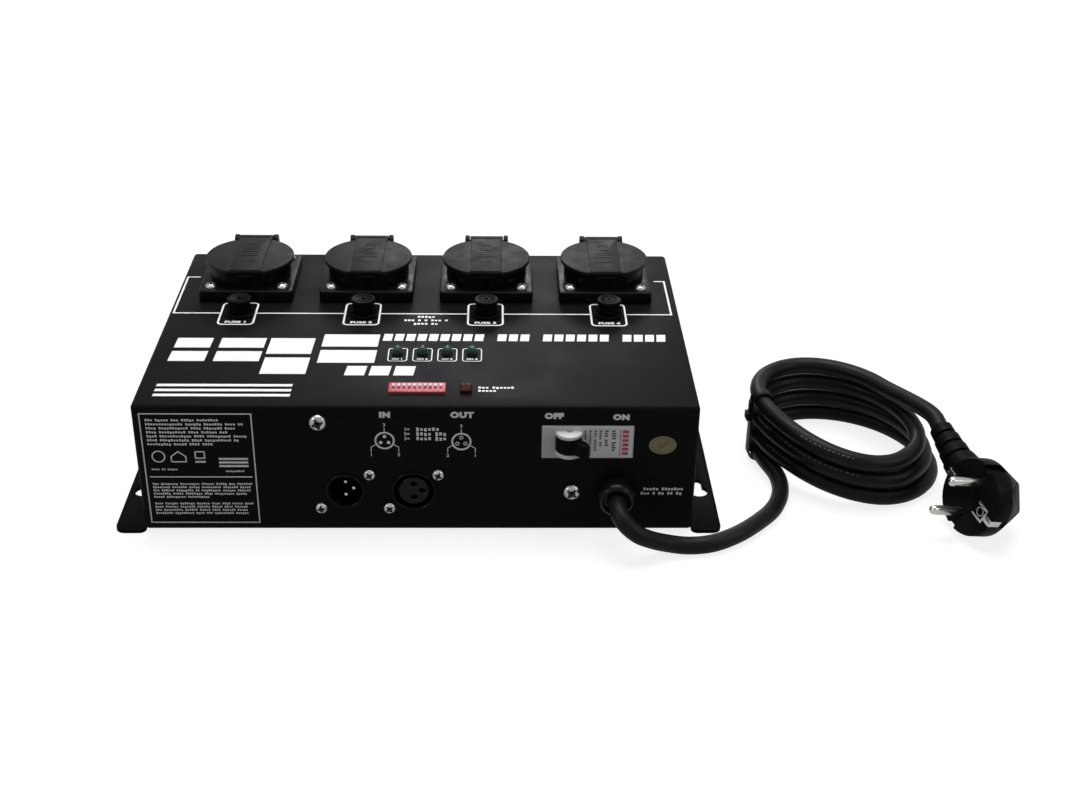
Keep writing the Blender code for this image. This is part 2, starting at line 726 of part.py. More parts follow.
def make_transformer():
    """Small core on a foot strap, with its winding through it."""
    half = CORE_DEPTH / 2
    core = boxes(
        "transformer",
        [((-CORE_WIDTH / 2, -half, FOOT_THICKNESS / 2), (CORE_WIDTH / 2, half, CORE_HEIGHT))],
        LAMINATION,
        (TRANSFORMER_CENTRE, FRONT + TRANSFORMER_FROM_FRONT, BASE_SHEET + CLEARANCE),
    )
    middle = CORE_HEIGHT / 2
    winding = boxes(
        "winding",
        [
            (
                (-WINDING_WIDTH / 2, -WINDING_DEPTH / 2, middle - WINDING_HEIGHT / 2),
                (WINDING_WIDTH / 2, WINDING_DEPTH / 2, middle + WINDING_HEIGHT / 2),
            )
        ],
        place=core.location,
    )
    bevel(winding, WINDING_ROUNDING, 2)
    outline = [rectangle(FOOT_LENGTH, CORE_DEPTH, FOOT_ROUNDING)]
    outline += [circle(side * foot_hole_offset(), 0.0, FOOT_HOLE, SCREW_FACETS) for side in (-1, 1)]
    foot = plate("transformer_foot", outline, FOOT_THICKNESS, place=core.location)
    join(core, winding, foot)
    settle(core)


def make_circuit_board():
    """Board on four posts under the top panel, relays below it, and a bracket to the front panel."""
    left = BOARD_CENTRE - BOARD_WIDTH / 2
    right = BOARD_CENTRE + BOARD_WIDTH / 2
    low = BOARD_TOP - BOARD_THICKNESS
    sheet = ((left, BOARD_FRONT, low), (right, BOARD_REAR, BOARD_TOP))
    board = boxes("circuit_board", [sheet], BOARD_GREEN)
    posts = []
    for x in (left + BOARD_POST_INSET, right - BOARD_POST_INSET):
        for y in (BOARD_FRONT + BOARD_POST_INSET, BOARD_REAR - BOARD_POST_INSET):
            posts.append(((x, y, low + BOARD_THICKNESS / 2), (x, y, CEILING - CLEARANCE)))
    relays = []
    for x, y, _ in row(RELAY_PITCH, BOARD_CENTRE, BOARD_REAR - RELAY_LENGTH, 0.0):
        corner = (x - RELAY_WIDTH / 2, y - RELAY_LENGTH / 2, low - RELAY_HEIGHT)
        relays.append((corner, (x + RELAY_WIDTH / 2, y + RELAY_LENGTH / 2, low + BOARD_THICKNESS / 2)))
    face = PANEL_BACK + CLEARANCE
    middle = UPPER_SCREW_CENTRE
    tab = (
        (middle - BOARD_BRACKET_WIDTH / 2, face, UPPER_SCREW_HEIGHT - BOARD_BRACKET_HEIGHT / 2),
        (middle + BOARD_BRACKET_WIDTH / 2, face + SHEET, low + BOARD_THICKNESS / 2),
    )
    arm = (
        (middle + PANEL_SCREW_SHANK + 2 * CLEARANCE, face + SHEET / 2, low - SHEET),
        (left + BOARD_BRACKET_WIDTH, BOARD_FRONT + BOARD_BRACKET_WIDTH, low + BOARD_THICKNESS / 4),
    )
    join(board, rods("board_posts", posts, BOARD_POST_RADIUS, SCREW_FACETS), boxes("relays", relays))
    join(board, boxes("board_arm", [arm]), boxes("board_tab", [tab]))
    screw_way = [((middle, FRONT, UPPER_SCREW_HEIGHT), (middle, BOARD_FRONT, UPPER_SCREW_HEIGHT))]
    cut(board, rods("board_tab_hole", screw_way, PANEL_SCREW_SHANK + CLEARANCE, COARSE))
    settle(board)


def make_sockets():
    """Body with collar, well, contact holes and the hinge's cheeks. Its origin is on the panel."""
    floor = SOCKET_RIM_HEIGHT - SOCKET_WELL_DEPTH
    collar = SOCKET_WELL_RADIUS + SOCKET_WALL
    flange_top = CLEARANCE + SOCKET_FLANGE_THICKNESS
    seat = CLEARANCE + SOCKET_FLANGE_THICKNESS / 2
    profile = [
        (0.0, floor),
        (SOCKET_WELL_RADIUS, floor),
        (SOCKET_WELL_RADIUS, SOCKET_RIM_HEIGHT),
        (collar, SOCKET_RIM_HEIGHT),
        (collar, seat),
        (SOCKET_BODY_RADIUS, seat),
        (SOCKET_BODY_RADIUS, -SOCKET_BODY_DEPTH),
        (0.0, -SOCKET_BODY_DEPTH),
    ]
    body = turned("socket_body_1", profile, FINE, BLACK_PLASTIC)
    outline = [rectangle(SOCKET_FLANGE, SOCKET_FLANGE, SOCKET_FLANGE_CORNER)]
    outline.append(circle(0.0, 0.0, (SOCKET_WELL_RADIUS + collar) / 2, FINE))
    outline += [circle(x, y, SOCKET_SCREW_HOLE, SCREW_FACETS) for x, y in SCREW_CORNERS]
    flange = plate("socket_flange", outline, SOCKET_FLANGE_THICKNESS, place=(0.0, 0.0, CLEARANCE))
    join(body, flange)
    for side in (-1, 1):
        inner = side * (HINGE_BARREL_LENGTH / 2 + CLEARANCE)
        start = min(inner, inner + side * HINGE_CHEEK_THICKNESS)
        outline = cheek_outline(flange_top)
        place = (start, 0.0, 0.0)
        join(body, plate(f"cheek_{side}", outline, HINGE_CHEEK_THICKNESS, None, place, TO_SIDE))
    rib_x = SOCKET_WELL_RADIUS - SOCKET_RIB_DEPTH
    root_x = SOCKET_WELL_RADIUS + SOCKET_WALL / 2
    half = SOCKET_RIB_WIDTH / 2
    ribs = []
    for low_x, high_x in ((rib_x, root_x), (-root_x, -rib_x)):
        rib_low = (low_x, -half, floor - CUT_OVERSHOOT)
        ribs.append((rib_low, (high_x, half, SOCKET_RIM_HEIGHT - 2 * LID_GASKET_DROP)))
    join(body, boxes("socket_ribs", ribs))
    pins = []
    for side in (-1, 1):
        x = side * SOCKET_PIN_SPACING / 2
        pins.append(((x, 0.0, floor - SOCKET_PIN_HOLE_DEPTH), (x, 0.0, floor + CUT_OVERSHOOT)))
    cut(body, rods("socket_contact_holes", pins, SOCKET_PIN_HOLE, COARSE))
    groove_x = EARTH_STRIP_WIDTH / 2 + CLEARANCE
    groove_y = earth_reach() + CLEARANCE
    bed = (
        (-groove_x, -groove_y, floor - EARTH_STRIP_THICKNESS - 2 * CLEARANCE),
        (groove_x, groove_y, floor + CUT_OVERSHOOT),
    )
    cut(body, boxes("socket_earth_bed", [bed]))
    copies(body, "socket_body", SOCKET_PLACES)


def cheek_outline(flange_top):
    """Cheek seen from the side (y, z): a round head on the hinge's axis and a foot on the flange."""
    y, z = HINGE_SETBACK, HINGE_HEIGHT
    head = arc((y, z), HINGE_CHEEK_RADIUS, 0.0, math.pi, 8)
    foot = flange_top - SOCKET_FLANGE_THICKNESS / 3
    front = y - HINGE_CHEEK_RADIUS - SOCKET_FLANGE_THICKNESS / 2
    rear = SOCKET_FLANGE / 2 - SOCKET_FLANGE_CORNER / 2
    edge = head + [(front, foot), (rear, foot), (y + HINGE_CHEEK_RADIUS, z - HINGE_CHEEK_RADIUS / 2)]
    return [edge, circle(y, z, HINGE_STUB_RADIUS + CLEARANCE, COARSE)]


def earth_reach():
    """How far the earth strip's arms stand from the well's axis."""
    return math.sqrt(SOCKET_WELL_RADIUS**2 - (EARTH_STRIP_WIDTH / 2) ** 2) - 2 * CLEARANCE


def make_socket_earths():
    """Earth strip bedded across the well's floor, bent up into a sprung arm at each end."""
    t = EARTH_STRIP_THICKNESS
    floor = SOCKET_RIM_HEIGHT - SOCKET_WELL_DEPTH - t - CLEARANCE
    reach = earth_reach()
    knee = floor + t + EARTH_ARM_HEIGHT * EARTH_KNEE_SHARE
    top = floor + t + EARTH_ARM_HEIGHT
    outside = [(reach, floor), (reach, floor + 2 * t)]
    outside += [(reach - EARTH_ARM_BULGE, knee), (reach - t / 2, top)]
    inside = [(y - t, z) for y, z in reversed(outside[1:])]
    inside[-1] = (reach - t, floor + t)
    half = outside + inside
    edge = half + [(-y, z) for y, z in reversed(half)]
    strip = plate("socket_earth_1", [edge], EARTH_STRIP_WIDTH, ZINC, (0, 0, 0), TO_SIDE)
    shape = bmesh.new()
    shape.from_mesh(strip.data)
    bmesh.ops.translate(shape, verts=shape.verts, vec=(0.0, 0.0, -EARTH_STRIP_WIDTH / 2))
    shape.to_mesh(strip.data)
    shape.free()
    copies(strip, "socket_earth", SOCKET_PLACES)


def make_socket_lids():
    """Round lid, straight in front, on a barrel with two stubs. Its origin is on the hinge's axis."""
    middle = -HINGE_SETBACK
    low = HINGE_DROP
    start = -math.asin(LID_FRONT_CUT / LID_RADIUS)
    outline = arc((0.0, middle), LID_RADIUS, start, math.pi - start, FINE)
    lid = plate("socket_lid_1", [outline], LID_THICKNESS, BLACK_PLASTIC)
    shape = bmesh.new()
    shape.from_mesh(lid.data)
    bmesh.ops.translate(shape, verts=shape.verts, vec=(0.0, 0.0, low))
    shape.to_mesh(lid.data)
    shape.free()
    top = low + LID_THICKNESS
    front = middle - LID_FRONT_CUT
    band = (
        (-LID_BAND_WIDTH / 2, front + LID_BAND_RISE, low + LID_THICKNESS / 2),
        (LID_BAND_WIDTH / 2, -HINGE_BARREL_RADIUS / 2, top + LID_BAND_RISE),
    )
    tongue = (
        (-HINGE_BARREL_LENGTH / 2, -LID_THICKNESS - HINGE_BARREL_RADIUS, low + LID_THICKNESS / 4),
        (HINGE_BARREL_LENGTH / 2, 0.0, top - LID_BAND_RISE / 2),
    )
    half = HINGE_BARREL_LENGTH / 2
    barrel = rods("lid_barrel", [((-half, 0.0, 0.0), (half, 0.0, 0.0))], HINGE_BARREL_RADIUS, MEDIUM)
    reach = half + HINGE_CHEEK_THICKNESS
    stub = rods("lid_stubs", [((-reach, 0.0, 0.0), (reach, 0.0, 0.0))], HINGE_STUB_RADIUS, COARSE)
    gasket_inner = LID_GASKET_RADIUS - LID_GASKET_WALL
    gasket = turned(
        "lid_gasket",
        [
            (gasket_inner, low + LID_THICKNESS / 3),
            (LID_GASKET_RADIUS, low + LID_THICKNESS / 3),
            (LID_GASKET_RADIUS, low - LID_GASKET_DROP),
            (gasket_inner, low - LID_GASKET_DROP),
            (gasket_inner, low + LID_THICKNESS / 3),
        ],
        FINE,
        place=(0.0, middle, 0.0),
    )
    join(lid, boxes("lid_tongue", [tongue]), barrel, stub, boxes("lid_band", [band]), gasket)
    groove = (
        (-HINGE_SLOT_LENGTH / 2, -HINGE_SLOT_SETBACK - HINGE_SLOT_WIDTH / 2, top - LID_THICKNESS / 3),
        (HINGE_SLOT_LENGTH / 2, -HINGE_SLOT_SETBACK + HINGE_SLOT_WIDTH / 2, top + 2 * LID_BAND_RISE),
    )
    cut(lid, boxes("lid_groove", [groove]))
    copies(lid, "socket_lid", [(x, y + HINGE_SETBACK, z + HINGE_HEIGHT) for x, y, z in SOCKET_PLACES])


def make_fuses():
    """Holder through the panel, cap with its neck in it, and the link that the cap lifts out."""
    bezel = CLEARANCE + FUSE_BEZEL_THICKNESS
    cap_low = bezel + CLEARANCE
    neck_low = cap_low - FUSE_NECK_DEPTH
    shoulder = neck_low - CLEARANCE
    neck_bore = FUSE_NECK_RADIUS + CLEARANCE
    link_bore = FUSE_LINK_RADIUS + CLEARANCE
    link_low = FUSE_LINK_TOP - FUSE_LINK_LENGTH
    holder = turned(
        "fuse_holder_1",
        [
            (0.0, link_low - CLEARANCE),
            (link_bore, link_low - CLEARANCE),
            (link_bore, shoulder),
            (neck_bore, shoulder),
            (neck_bore, bezel),
            (FUSE_BEZEL_RADIUS, bezel),
            (FUSE_BEZEL_RADIUS, CLEARANCE),
            (FUSE_BODY_RADIUS, CLEARANCE),
            (FUSE_BODY_RADIUS, -FUSE_BODY_DEPTH),
            (0.0, -FUSE_BODY_DEPTH),
        ],
        MEDIUM,
        BLACK_PLASTIC,
    )
    tag = (
        (-FUSE_TAG_WIDTH / 2, -FUSE_TAG_THICKNESS / 2, -FUSE_BODY_DEPTH - FUSE_TAG_LENGTH),
        (FUSE_TAG_WIDTH / 2, FUSE_TAG_THICKNESS / 2, -FUSE_BODY_DEPTH + CUT_OVERSHOOT),
    )
    join(holder, boxes("fuse_tag", [tag]))
    copies(holder, "fuse_holder", FUSE_PLACES)
    cap = turned(
        "fuse_cap_1",
        [
            (0.0, FUSE_CAP_TOP),
            (FUSE_CAP_RADIUS - FUSE_CAP_CHAMFER, FUSE_CAP_TOP),
            (FUSE_CAP_RADIUS, FUSE_CAP_TOP - FUSE_CAP_CHAMFER),
            (FUSE_CAP_RADIUS, cap_low),
            (FUSE_NECK_RADIUS, cap_low),
            (FUSE_NECK_RADIUS, neck_low),
            (link_bore, neck_low),
            (link_bore, FUSE_LINK_TOP + CLEARANCE),
            (0.0, FUSE_LINK_TOP + CLEARANCE),
        ],
        MEDIUM,
        BLACK_PLASTIC,
    )
    slot = (
        (-FUSE_NECK_RADIUS / 2, -FUSE_CAP_SLOT / 2, FUSE_CAP_TOP - FUSE_CAP_SLOT),
        (FUSE_NECK_RADIUS / 2, FUSE_CAP_SLOT / 2, FUSE_CAP_TOP + CUT_OVERSHOOT),
    )
    cut(cap, boxes("fuse_cap_slot", [slot]))
    copies(cap, "fuse_cap", FUSE_PLACES)
    ends = [((0.0, 0.0, link_low), (0.0, 0.0, FUSE_LINK_TOP))]
    copies(rods("fuse_link_1", ends, FUSE_LINK_RADIUS, COARSE, GLASS), "fuse_link", FUSE_PLACES)


def make_address_switches():
    """Switch block on the board, up through its window, with ten small sliders at rest to the rear."""
    low = BOARD_TOP + CLEARANCE
    high = BOX_HEIGHT + DIP_RISE
    middle = FRONT + DIP_FROM_FRONT
    half = Vector((DIP_LENGTH / 2, DIP_WIDTH / 2))
    corners = ((DIP_CENTRE - half.x, middle - half.y, low), (DIP_CENTRE + half.x, middle + half.y, high))
    block = boxes("dip_body", [corners], RED_PLASTIC)
    slots = []
    places = row(DIP_PITCH, DIP_CENTRE, middle, high, DIP_COUNT)
    slot_x = DIP_SLIDER_WIDTH / 2 + CLEARANCE
    slot_y = (DIP_SLIDER_LENGTH + DIP_TRAVEL) / 2 + CLEARANCE
    for x, y, z in places:
        slot_low = (x - slot_x, y - slot_y, z - DIP_SLOT_DEPTH)
        slots.append((slot_low, (x + slot_x, y + slot_y, z + CUT_OVERSHOOT)))
    cut(block, boxes("dip_slots", slots))
    settle(block)
    body = (
        (-DIP_SLIDER_WIDTH / 2, -DIP_SLIDER_LENGTH / 2, CLEARANCE - DIP_SLOT_DEPTH),
        (DIP_SLIDER_WIDTH / 2, DIP_SLIDER_LENGTH / 2, DIP_SLIDER_RISE),
    )
    slider = boxes("dip_slider_1", [body], WHITE_PLASTIC)
    copies(slider, "dip_slider", [(x, y + DIP_TRAVEL / 2, z) for x, y, z in places])


def make_lamps():
    """Four domed channel lamps standing on the board, and the status window."""
    foot = BOARD_TOP + CLEARANCE - BOX_HEIGHT
    base = LAMP_RISE - LAMP_LENGTH
    crown = LAMP_RISE - LAMP_RADIUS
    angles = np.linspace(0.0, math.pi / 2, LAMP_DOME_POINTS)
    dome = [(LAMP_RADIUS * math.sin(a), crown + LAMP_RADIUS * math.cos(a)) for a in angles]
    flange = LAMP_RADIUS + LAMP_FLANGE
    profile = dome + [
        (LAMP_RADIUS, base + 2 * LAMP_FLANGE),
        (flange, base + 2 * LAMP_FLANGE),
        (flange, base),
        (LAMP_RADIUS / 2, base),
        (LAMP_RADIUS / 2, foot),
        (0.0, foot),
    ]
    copies(turned("channel_led_1", profile, COARSE, GREEN_LENS), "channel_led", LAMP_PLACES)
    middle = FRONT + STATUS_FROM_FRONT
    half = Vector((STATUS_WIDTH / 2, STATUS_LENGTH / 2))
    corners = (
        (STATUS_CENTRE - half.x, middle - half.y, BOARD_TOP + CLEARANCE),
        (STATUS_CENTRE + half.x, middle + half.y, BOX_HEIGHT + STATUS_RISE),
    )
    boxes("status_led", [corners], RED_PLASTIC)


def xlr_shell(name, centre, radius, bore):
    """Shell on a flange behind the panel, its ring through it. Built facing +Z, up along +Y."""
    back = -SHEET - CLEARANCE
    shell = turned(
        name,
        [
            (bore, XLR_RING_RISE),
            (radius, XLR_RING_RISE),
            (radius, XLR_RING_RISE - XLR_SHELL_DEPTH),
            (bore, XLR_RING_RISE - XLR_SHELL_DEPTH),
            (bore, XLR_RING_RISE),
        ],
        FINE,
        BLACK_PLASTIC,
        (centre, FRONT, PLUG_HEIGHT),
        TO_FRONT,
    )
    outline = [rectangle(XLR_FLANGE_WIDTH, XLR_FLANGE_HEIGHT, XLR_FLANGE_CORNER)]
    outline.append(circle(0.0, 0.0, (radius + bore) / 2, FINE))
    outline += [circle(x, y, XLR_SCREW_HOLE, SCREW_FACETS) for x, y in XLR_SCREWS]
    place = shell.location + Vector((0.0, XLR_FLANGE_THICKNESS - back, 0.0))
    join(shell, plate(f"{name}_flange", outline, XLR_FLANGE_THICKNESS, None, place, TO_FRONT))
    settle(shell)


def xlr_contacts():
    """Where the three contacts stand, across and up."""
    return ((0.0, XLR_PIN_UP), (0.0, -XLR_PIN_UP), (XLR_PIN_ACROSS, 0.0))


def make_data_plugs():
    """Input with pins in an open shell, output with a core of contact holes."""
    xlr_shell("dmx_in_shell", DMX_IN_CENTRE, XLR_IN_RADIUS, XLR_IN_BORE)
    xlr_shell("dmx_out_shell", DMX_OUT_CENTRE, XLR_OUT_RADIUS, XLR_OUT_BORE)
    face = XLR_RING_RISE - XLR_BASE_FROM_FRONT
    back = face - XLR_BASE_THICKNESS
    tail = back - XLR_TAIL_LENGTH
    in_place = (DMX_IN_CENTRE, FRONT, PLUG_HEIGHT)
    out_place = (DMX_OUT_CENTRE, FRONT, PLUG_HEIGHT)
    base = [((0.0, 0.0, back), (0.0, 0.0, face))]
    pins = [((x, y, tail), (x, y, face + XLR_PIN_LENGTH)) for x, y in xlr_contacts()]
    tails = [((x, y, tail), (x, y, back + CUT_OVERSHOOT)) for x, y in xlr_contacts()]
    insert = rods("dmx_in_insert", base, XLR_IN_BORE - CLEARANCE, MEDIUM, BLACK_PLASTIC, in_place, TO_FRONT)
    join(insert, rods("dmx_in_pins", pins, XLR_PIN_RADIUS, SCREW_FACETS, None, in_place, TO_FRONT))
    settle(insert)
    profile = [
        (0.0, 0.0),
        (XLR_OUT_CORE, 0.0),
        (XLR_OUT_CORE, face),
        (XLR_OUT_BORE - CLEARANCE, face),
        (XLR_OUT_BORE - CLEARANCE, back),
        (0.0, back),
    ]
    core = turned("dmx_out_insert", profile, MEDIUM, BLACK_PLASTIC, out_place, TO_FRONT)
    join(core, rods("dmx_out_tails", tails, XLR_PIN_RADIUS, SCREW_FACETS, None, out_place, TO_FRONT))
    holes = [((x, y, face), (x, y, CUT_OVERSHOOT)) for x, y in xlr_contacts()]
    cut(core, rods("dmx_out_holes", holes, XLR_SOCKET_RADIUS, SCREW_FACETS, None, out_place, TO_FRONT))
    settle(core)


def make_breaker():
    """Breaker lying on its side: a wide body behind the panel and a nose through it."""
    half = BREAKER_THICKNESS / 2
    place = (BREAKER_CENTRE, FRONT, BREAKER_HEIGHT)
    shoulder = SHOULDER_FROM_FRONT
    body = boxes(
        "breaker_body",
        [((-BREAKER_WIDTH / 2, shoulder, -half), (BREAKER_WIDTH / 2, shoulder + BREAKER_DEPTH, half))],
        GREY_PLASTIC,
        place,
    )
    nose = ((-NOSE_WIDTH / 2, -NOSE_RISE, -half), (NOSE_WIDTH / 2, shoulder + CUT_OVERSHOOT, half))
    join(body, boxes("breaker_nose", [nose], place=place))
    axis = (TOGGLE_OFFSET, -TOGGLE_AXIS_RISE)
    inner = TOGGLE_DRUM_LENGTH / 2 + CLEARANCE
    outer = inner + TOGGLE_CHEEK_THICKNESS
    for side, name in ((-1, "lower"), (1, "upper")):
        ends = [((*axis, side * inner), (*axis, side * outer))]
        join(body, rods(f"breaker_{name}_cheek", ends, TOGGLE_CHEEK_RADIUS, MEDIUM, place=place))
    recess = [((*axis, -inner), (*axis, inner))]
    pivot = [((*axis, -outer - CUT_OVERSHOOT), (*axis, outer + CUT_OVERSHOOT))]
    cut(body, rods("breaker_recess", recess, TOGGLE_DRUM_RADIUS + CLEARANCE, MEDIUM, place=place))
    cut(body, rods("breaker_pivot", pivot, TOGGLE_STUB_RADIUS + CLEARANCE, SCREW_FACETS, place=place))
    settle(body)


def make_breaker_toggle():
    """Rocking lever on a drum. Its origin is on its axis, and at rest it points to ON."""
    place = (BREAKER_CENTRE + TOGGLE_OFFSET, FRONT - TOGGLE_AXIS_RISE, BREAKER_HEIGHT)
    half = TOGGLE_DRUM_LENGTH / 2
    drum = [((0.0, 0.0, -half), (0.0, 0.0, half))]
    toggle = rods("breaker_toggle", drum, TOGGLE_DRUM_RADIUS, MEDIUM, BLACK_PLASTIC, place)
    reach = half + TOGGLE_CHEEK_THICKNESS
    stubs = [((0.0, 0.0, -reach), (0.0, 0.0, reach))]
    lever = (
        (-TOGGLE_LEVER_THICKNESS / 2, -TOGGLE_LEVER_REACH, -TOGGLE_LEVER_WIDTH / 2),
        (TOGGLE_LEVER_THICKNESS / 2, -TOGGLE_DRUM_RADIUS / 2, TOGGLE_LEVER_WIDTH / 2),
    )
    turn = (0.0, 0.0, math.radians(TOGGLE_REST_ANGLE))
    lever_part = boxes("toggle_lever", [lever], None, place, turn)
    bevel(lever_part, TOGGLE_LEVER_ROUNDING, 2)
    join(toggle, rods("toggle_stubs", stubs, TOGGLE_STUB_RADIUS, SCREW_FACETS, place=place), lever_part)
    settle(toggle)


def make_breaker_rail():
    """Folded bracket: a tab screwed to the front panel, a shelf under the breaker, an upturn behind it."""
    top = BREAKER_HEIGHT - BREAKER_THICKNESS / 2 - CLEARANCE
    low = top - RAIL_SHEET
    face = PANEL_BACK + CLEARANCE
    rear = FRONT + SHOULDER_FROM_FRONT + BREAKER_DEPTH + CLEARANCE
    left = BREAKER_CENTRE - RAIL_WIDTH / 2
    right = BREAKER_CENTRE + RAIL_WIDTH / 2
    rail = boxes("breaker_rail", [((left, face, low), (right, rear + RAIL_SHEET, top))], ZINC)
    tab_left = LOWER_SCREW_CENTRE - RAIL_TAB_WIDTH / 2
    tab = (
        (tab_left, face, low - RAIL_TAB_DROP),
        (tab_left + RAIL_TAB_WIDTH, face + RAIL_SHEET, low + RAIL_SHEET / 2),
    )
    upturn = ((left, rear, low + RAIL_SHEET / 2), (right, rear + RAIL_SHEET, top + RAIL_UPTURN))
    join(rail, boxes("rail_tab", [tab]), boxes("rail_upturn", [upturn]))
    x, z = LOWER_SCREW_CENTRE, PLUG_HEIGHT
    way = [((x, FRONT, z), (x, face + RAIL_SHEET + CUT_OVERSHOOT, z))]
    cut(rail, rods("rail_hole", way, PANEL_SCREW_SHANK + CLEARANCE, COARSE))
    settle(rail)


def make_front_fittings():
    """Cable gland with its lock nut behind the panel, and the two large panel screws."""
    back = -SHEET - CLEARANCE
    nut = back - GLAND_NUT_THICKNESS
    profile = [(0.0, GLAND_RISE)]
    profile += [(GLAND_RADIUS * across, GLAND_RISE * up) for across, up in GLAND_DOME]
    profile += [
        (GLAND_RADIUS, CLEARANCE),
        (GLAND_THREAD_RADIUS, CLEARANCE),
        (GLAND_THREAD_RADIUS, back),
        (GLAND_NUT_RADIUS, back),
        (GLAND_NUT_RADIUS, nut),
        (GLAND_THREAD_RADIUS, nut),
        (GLAND_THREAD_RADIUS, nut - GLAND_NUT_THICKNESS),
        (0.0, nut - GLAND_NUT_THICKNESS),
    ]
    place = (GLAND_CENTRE, FRONT, GLAND_HEIGHT)
    turned("cable_gland", profile, MEDIUM, BLACK_PLASTIC, place, TO_FRONT)
    profile = [(0.0, PANEL_SCREW_RISE)]
    profile += [(PANEL_SCREW_HEAD * across, PANEL_SCREW_RISE * up) for across, up in PANEL_SCREW_DOME]
    profile += [
        (PANEL_SCREW_HEAD, CLEARANCE),
        (PANEL_SCREW_SHANK, CLEARANCE),
        (PANEL_SCREW_SHANK, -PANEL_SCREW_LENGTH),
        (0.0, -PANEL_SCREW_LENGTH),
    ]
    screw = turned("panel_screw_1", profile, COARSE, ZINC, turn=TO_FRONT)
    places = [(UPPER_SCREW_CENTRE, FRONT, UPPER_SCREW_HEIGHT), (LOWER_SCREW_CENTRE, FRONT, PLUG_HEIGHT)]
    copies(screw, "panel_screw", places)


def smooth_route(stations, step):
    """Points a step apart along a smooth curve (Catmull-Rom) through the stations."""
    knots = [Vector(place) for place in stations]
    knots = [2 * knots[0] - knots[1]] + knots + [2 * knots[-1] - knots[-2]]
    fine = []
    for a, b, c, d in zip(knots, knots[1:], knots[2:], knots[3:]):
        for t in np.linspace(0.0, 1.0, LEAD_PIECES, endpoint=False):
            curved = (2 * a - 5 * b + 4 * c - d) * t**2 + (3 * b - a - 3 * c + d) * t**3
            fine.append(0.5 * (2 * b + (c - a) * t + curved))
    fine.append(knots[-2])
    along = np.concatenate([[0.0], np.cumsum([(q - p).length for p, q in zip(fine, fine[1:])])])
    count = max(2, round(along[-1] / step))
    wanted = np.linspace(0.0, along[-1], count + 1)
    columns = [np.interp(wanted, along, [point[k] for point in fine]) for k in range(3)]
    return list(zip(*columns)), along[-1]


def coil_height(degrees):
    """Height of the cord's middle this far round the coil. The tie under the cord lifts it a little."""
    loops = math.floor(degrees / 360.0)
    part = degrees - 360.0 * loops
    share = min(1.0, max(0.0, (part - COIL_CLIMB_START) / (COIL_CLIMB_END - COIL_CLIMB_START)))
    climb = loops + share * share * (3 - 2 * share)
    away = abs((degrees - TIE_ROUND + 180.0) % 360.0 - 180.0)
    lift = COIL_TIE_LIFT * 0.5 * (1 + math.cos(math.pi * min(1.0, away / COIL_LIFT_REACH)))
    return CORD_RADIUS + climb * COIL_PITCH + lift


def coil_place(degrees):
    """Middle of the cord this far round the coil, and the way that it runs there."""
    angle = math.pi - math.radians(degrees)
    tilt = Matrix.Rotation(math.radians(COIL_TILT), 3, "Z")
    round_oval = Vector((COIL_HALF_LENGTH * math.cos(angle), COIL_HALF_WIDTH * math.sin(angle), 0.0))
    along_oval = Vector((COIL_HALF_LENGTH * math.sin(angle), -COIL_HALF_WIDTH * math.cos(angle), 0.0))
    wound = (degrees - COIL_START) / (COIL_END - COIL_START)
    from_tie = 0.5 * (1 - math.cos(math.radians(degrees - TIE_ROUND)))
    middle = tilt @ round_oval + Vector((*COIL_CENTRE, coil_height(degrees)))
    middle.x += COIL_DRIFT * (1 - 2 * wound) * from_tie
    return middle, (tilt @ along_oval).normalized()


def coil_points():
    """The wound cord: straight in from the lead, round the loops, and straight out to the plug."""
    place, way = coil_place(COIL_START)
    points = [place - way * 2 * CORD_RADIUS]
    steps = round((COIL_END - COIL_START) / 360.0 * COIL_POINTS_PER_LOOP)
    points += [coil_place(degrees)[0] for degrees in np.linspace(COIL_START, COIL_END, steps + 1)]
    return points + relief_ends()


def relief_way():
    """The way from the relief's thin end along its axis, towards the coil."""
    neck_end = plug_matrix() @ Vector((0.0, -PLUG_NECK_REACH, -PLUG_CORD_DEPTH))
    return (Vector(RELIEF_END) - neck_end).normalized()


def relief_ends():
    """The coil's last straight run, one diameter long, square to the relief's end."""
    way = relief_way()
    end = Vector(RELIEF_END) + way * CLEARANCE
    return [end + way * 2 * CORD_RADIUS, end]


def least_self_gap(points, radius):
    """The smallest gap between stretches of the tube that aren't neighbours along it."""
    fine = []
    for a, b in zip(points, points[1:]):
        for t in np.linspace(0.0, 1.0, 6, endpoint=False):
            fine.append([p + (q - p) * t for p, q in zip(a, b)])
    fine = np.array(fine)
    along = np.concatenate([[0.0], np.cumsum(np.linalg.norm(np.diff(fine, axis=0), axis=1))])
    apart = np.linalg.norm(fine[:, None] - fine[None], axis=2)
    far = np.abs(along[:, None] - along[None]) > 6 * radius
    return float(apart[far].min() - 2 * radius)


def make_lead():
    """Free stretch, coil and the tie round the coil's left side."""
    points = coil_points()
    way_in = (points[1] - points[0]).normalized()
    gland_face = Vector((GLAND_CENTRE, FRONT - GLAND_RISE - CLEARANCE, GLAND_HEIGHT))
    coil_face = points[0] - way_in * CLEARANCE
    route, length = smooth_route(LEAD_ROUTE, LEAD_STEP)
    route = [gland_face, gland_face - Vector((0.0, LEAD_END_RUN, 0.0))] + route[1:-1]
    route += [coil_face - way_in * LEAD_END_RUN, coil_face]
    tube("mains_lead", route, CORD_RADIUS, 2, BLACK_RUBBER)
    tube("lead_coil", points, CORD_RADIUS, 1, BLACK_RUBBER)
    wound = sum((b - a).length for a, b in zip(points, points[1:]))
    gap = 1000 * least_self_gap(points, CORD_RADIUS)
    print(f"lead {length:.3f} m, coil {wound:.3f} m, least gap {gap:.2f} mm")
    make_coil_tie()


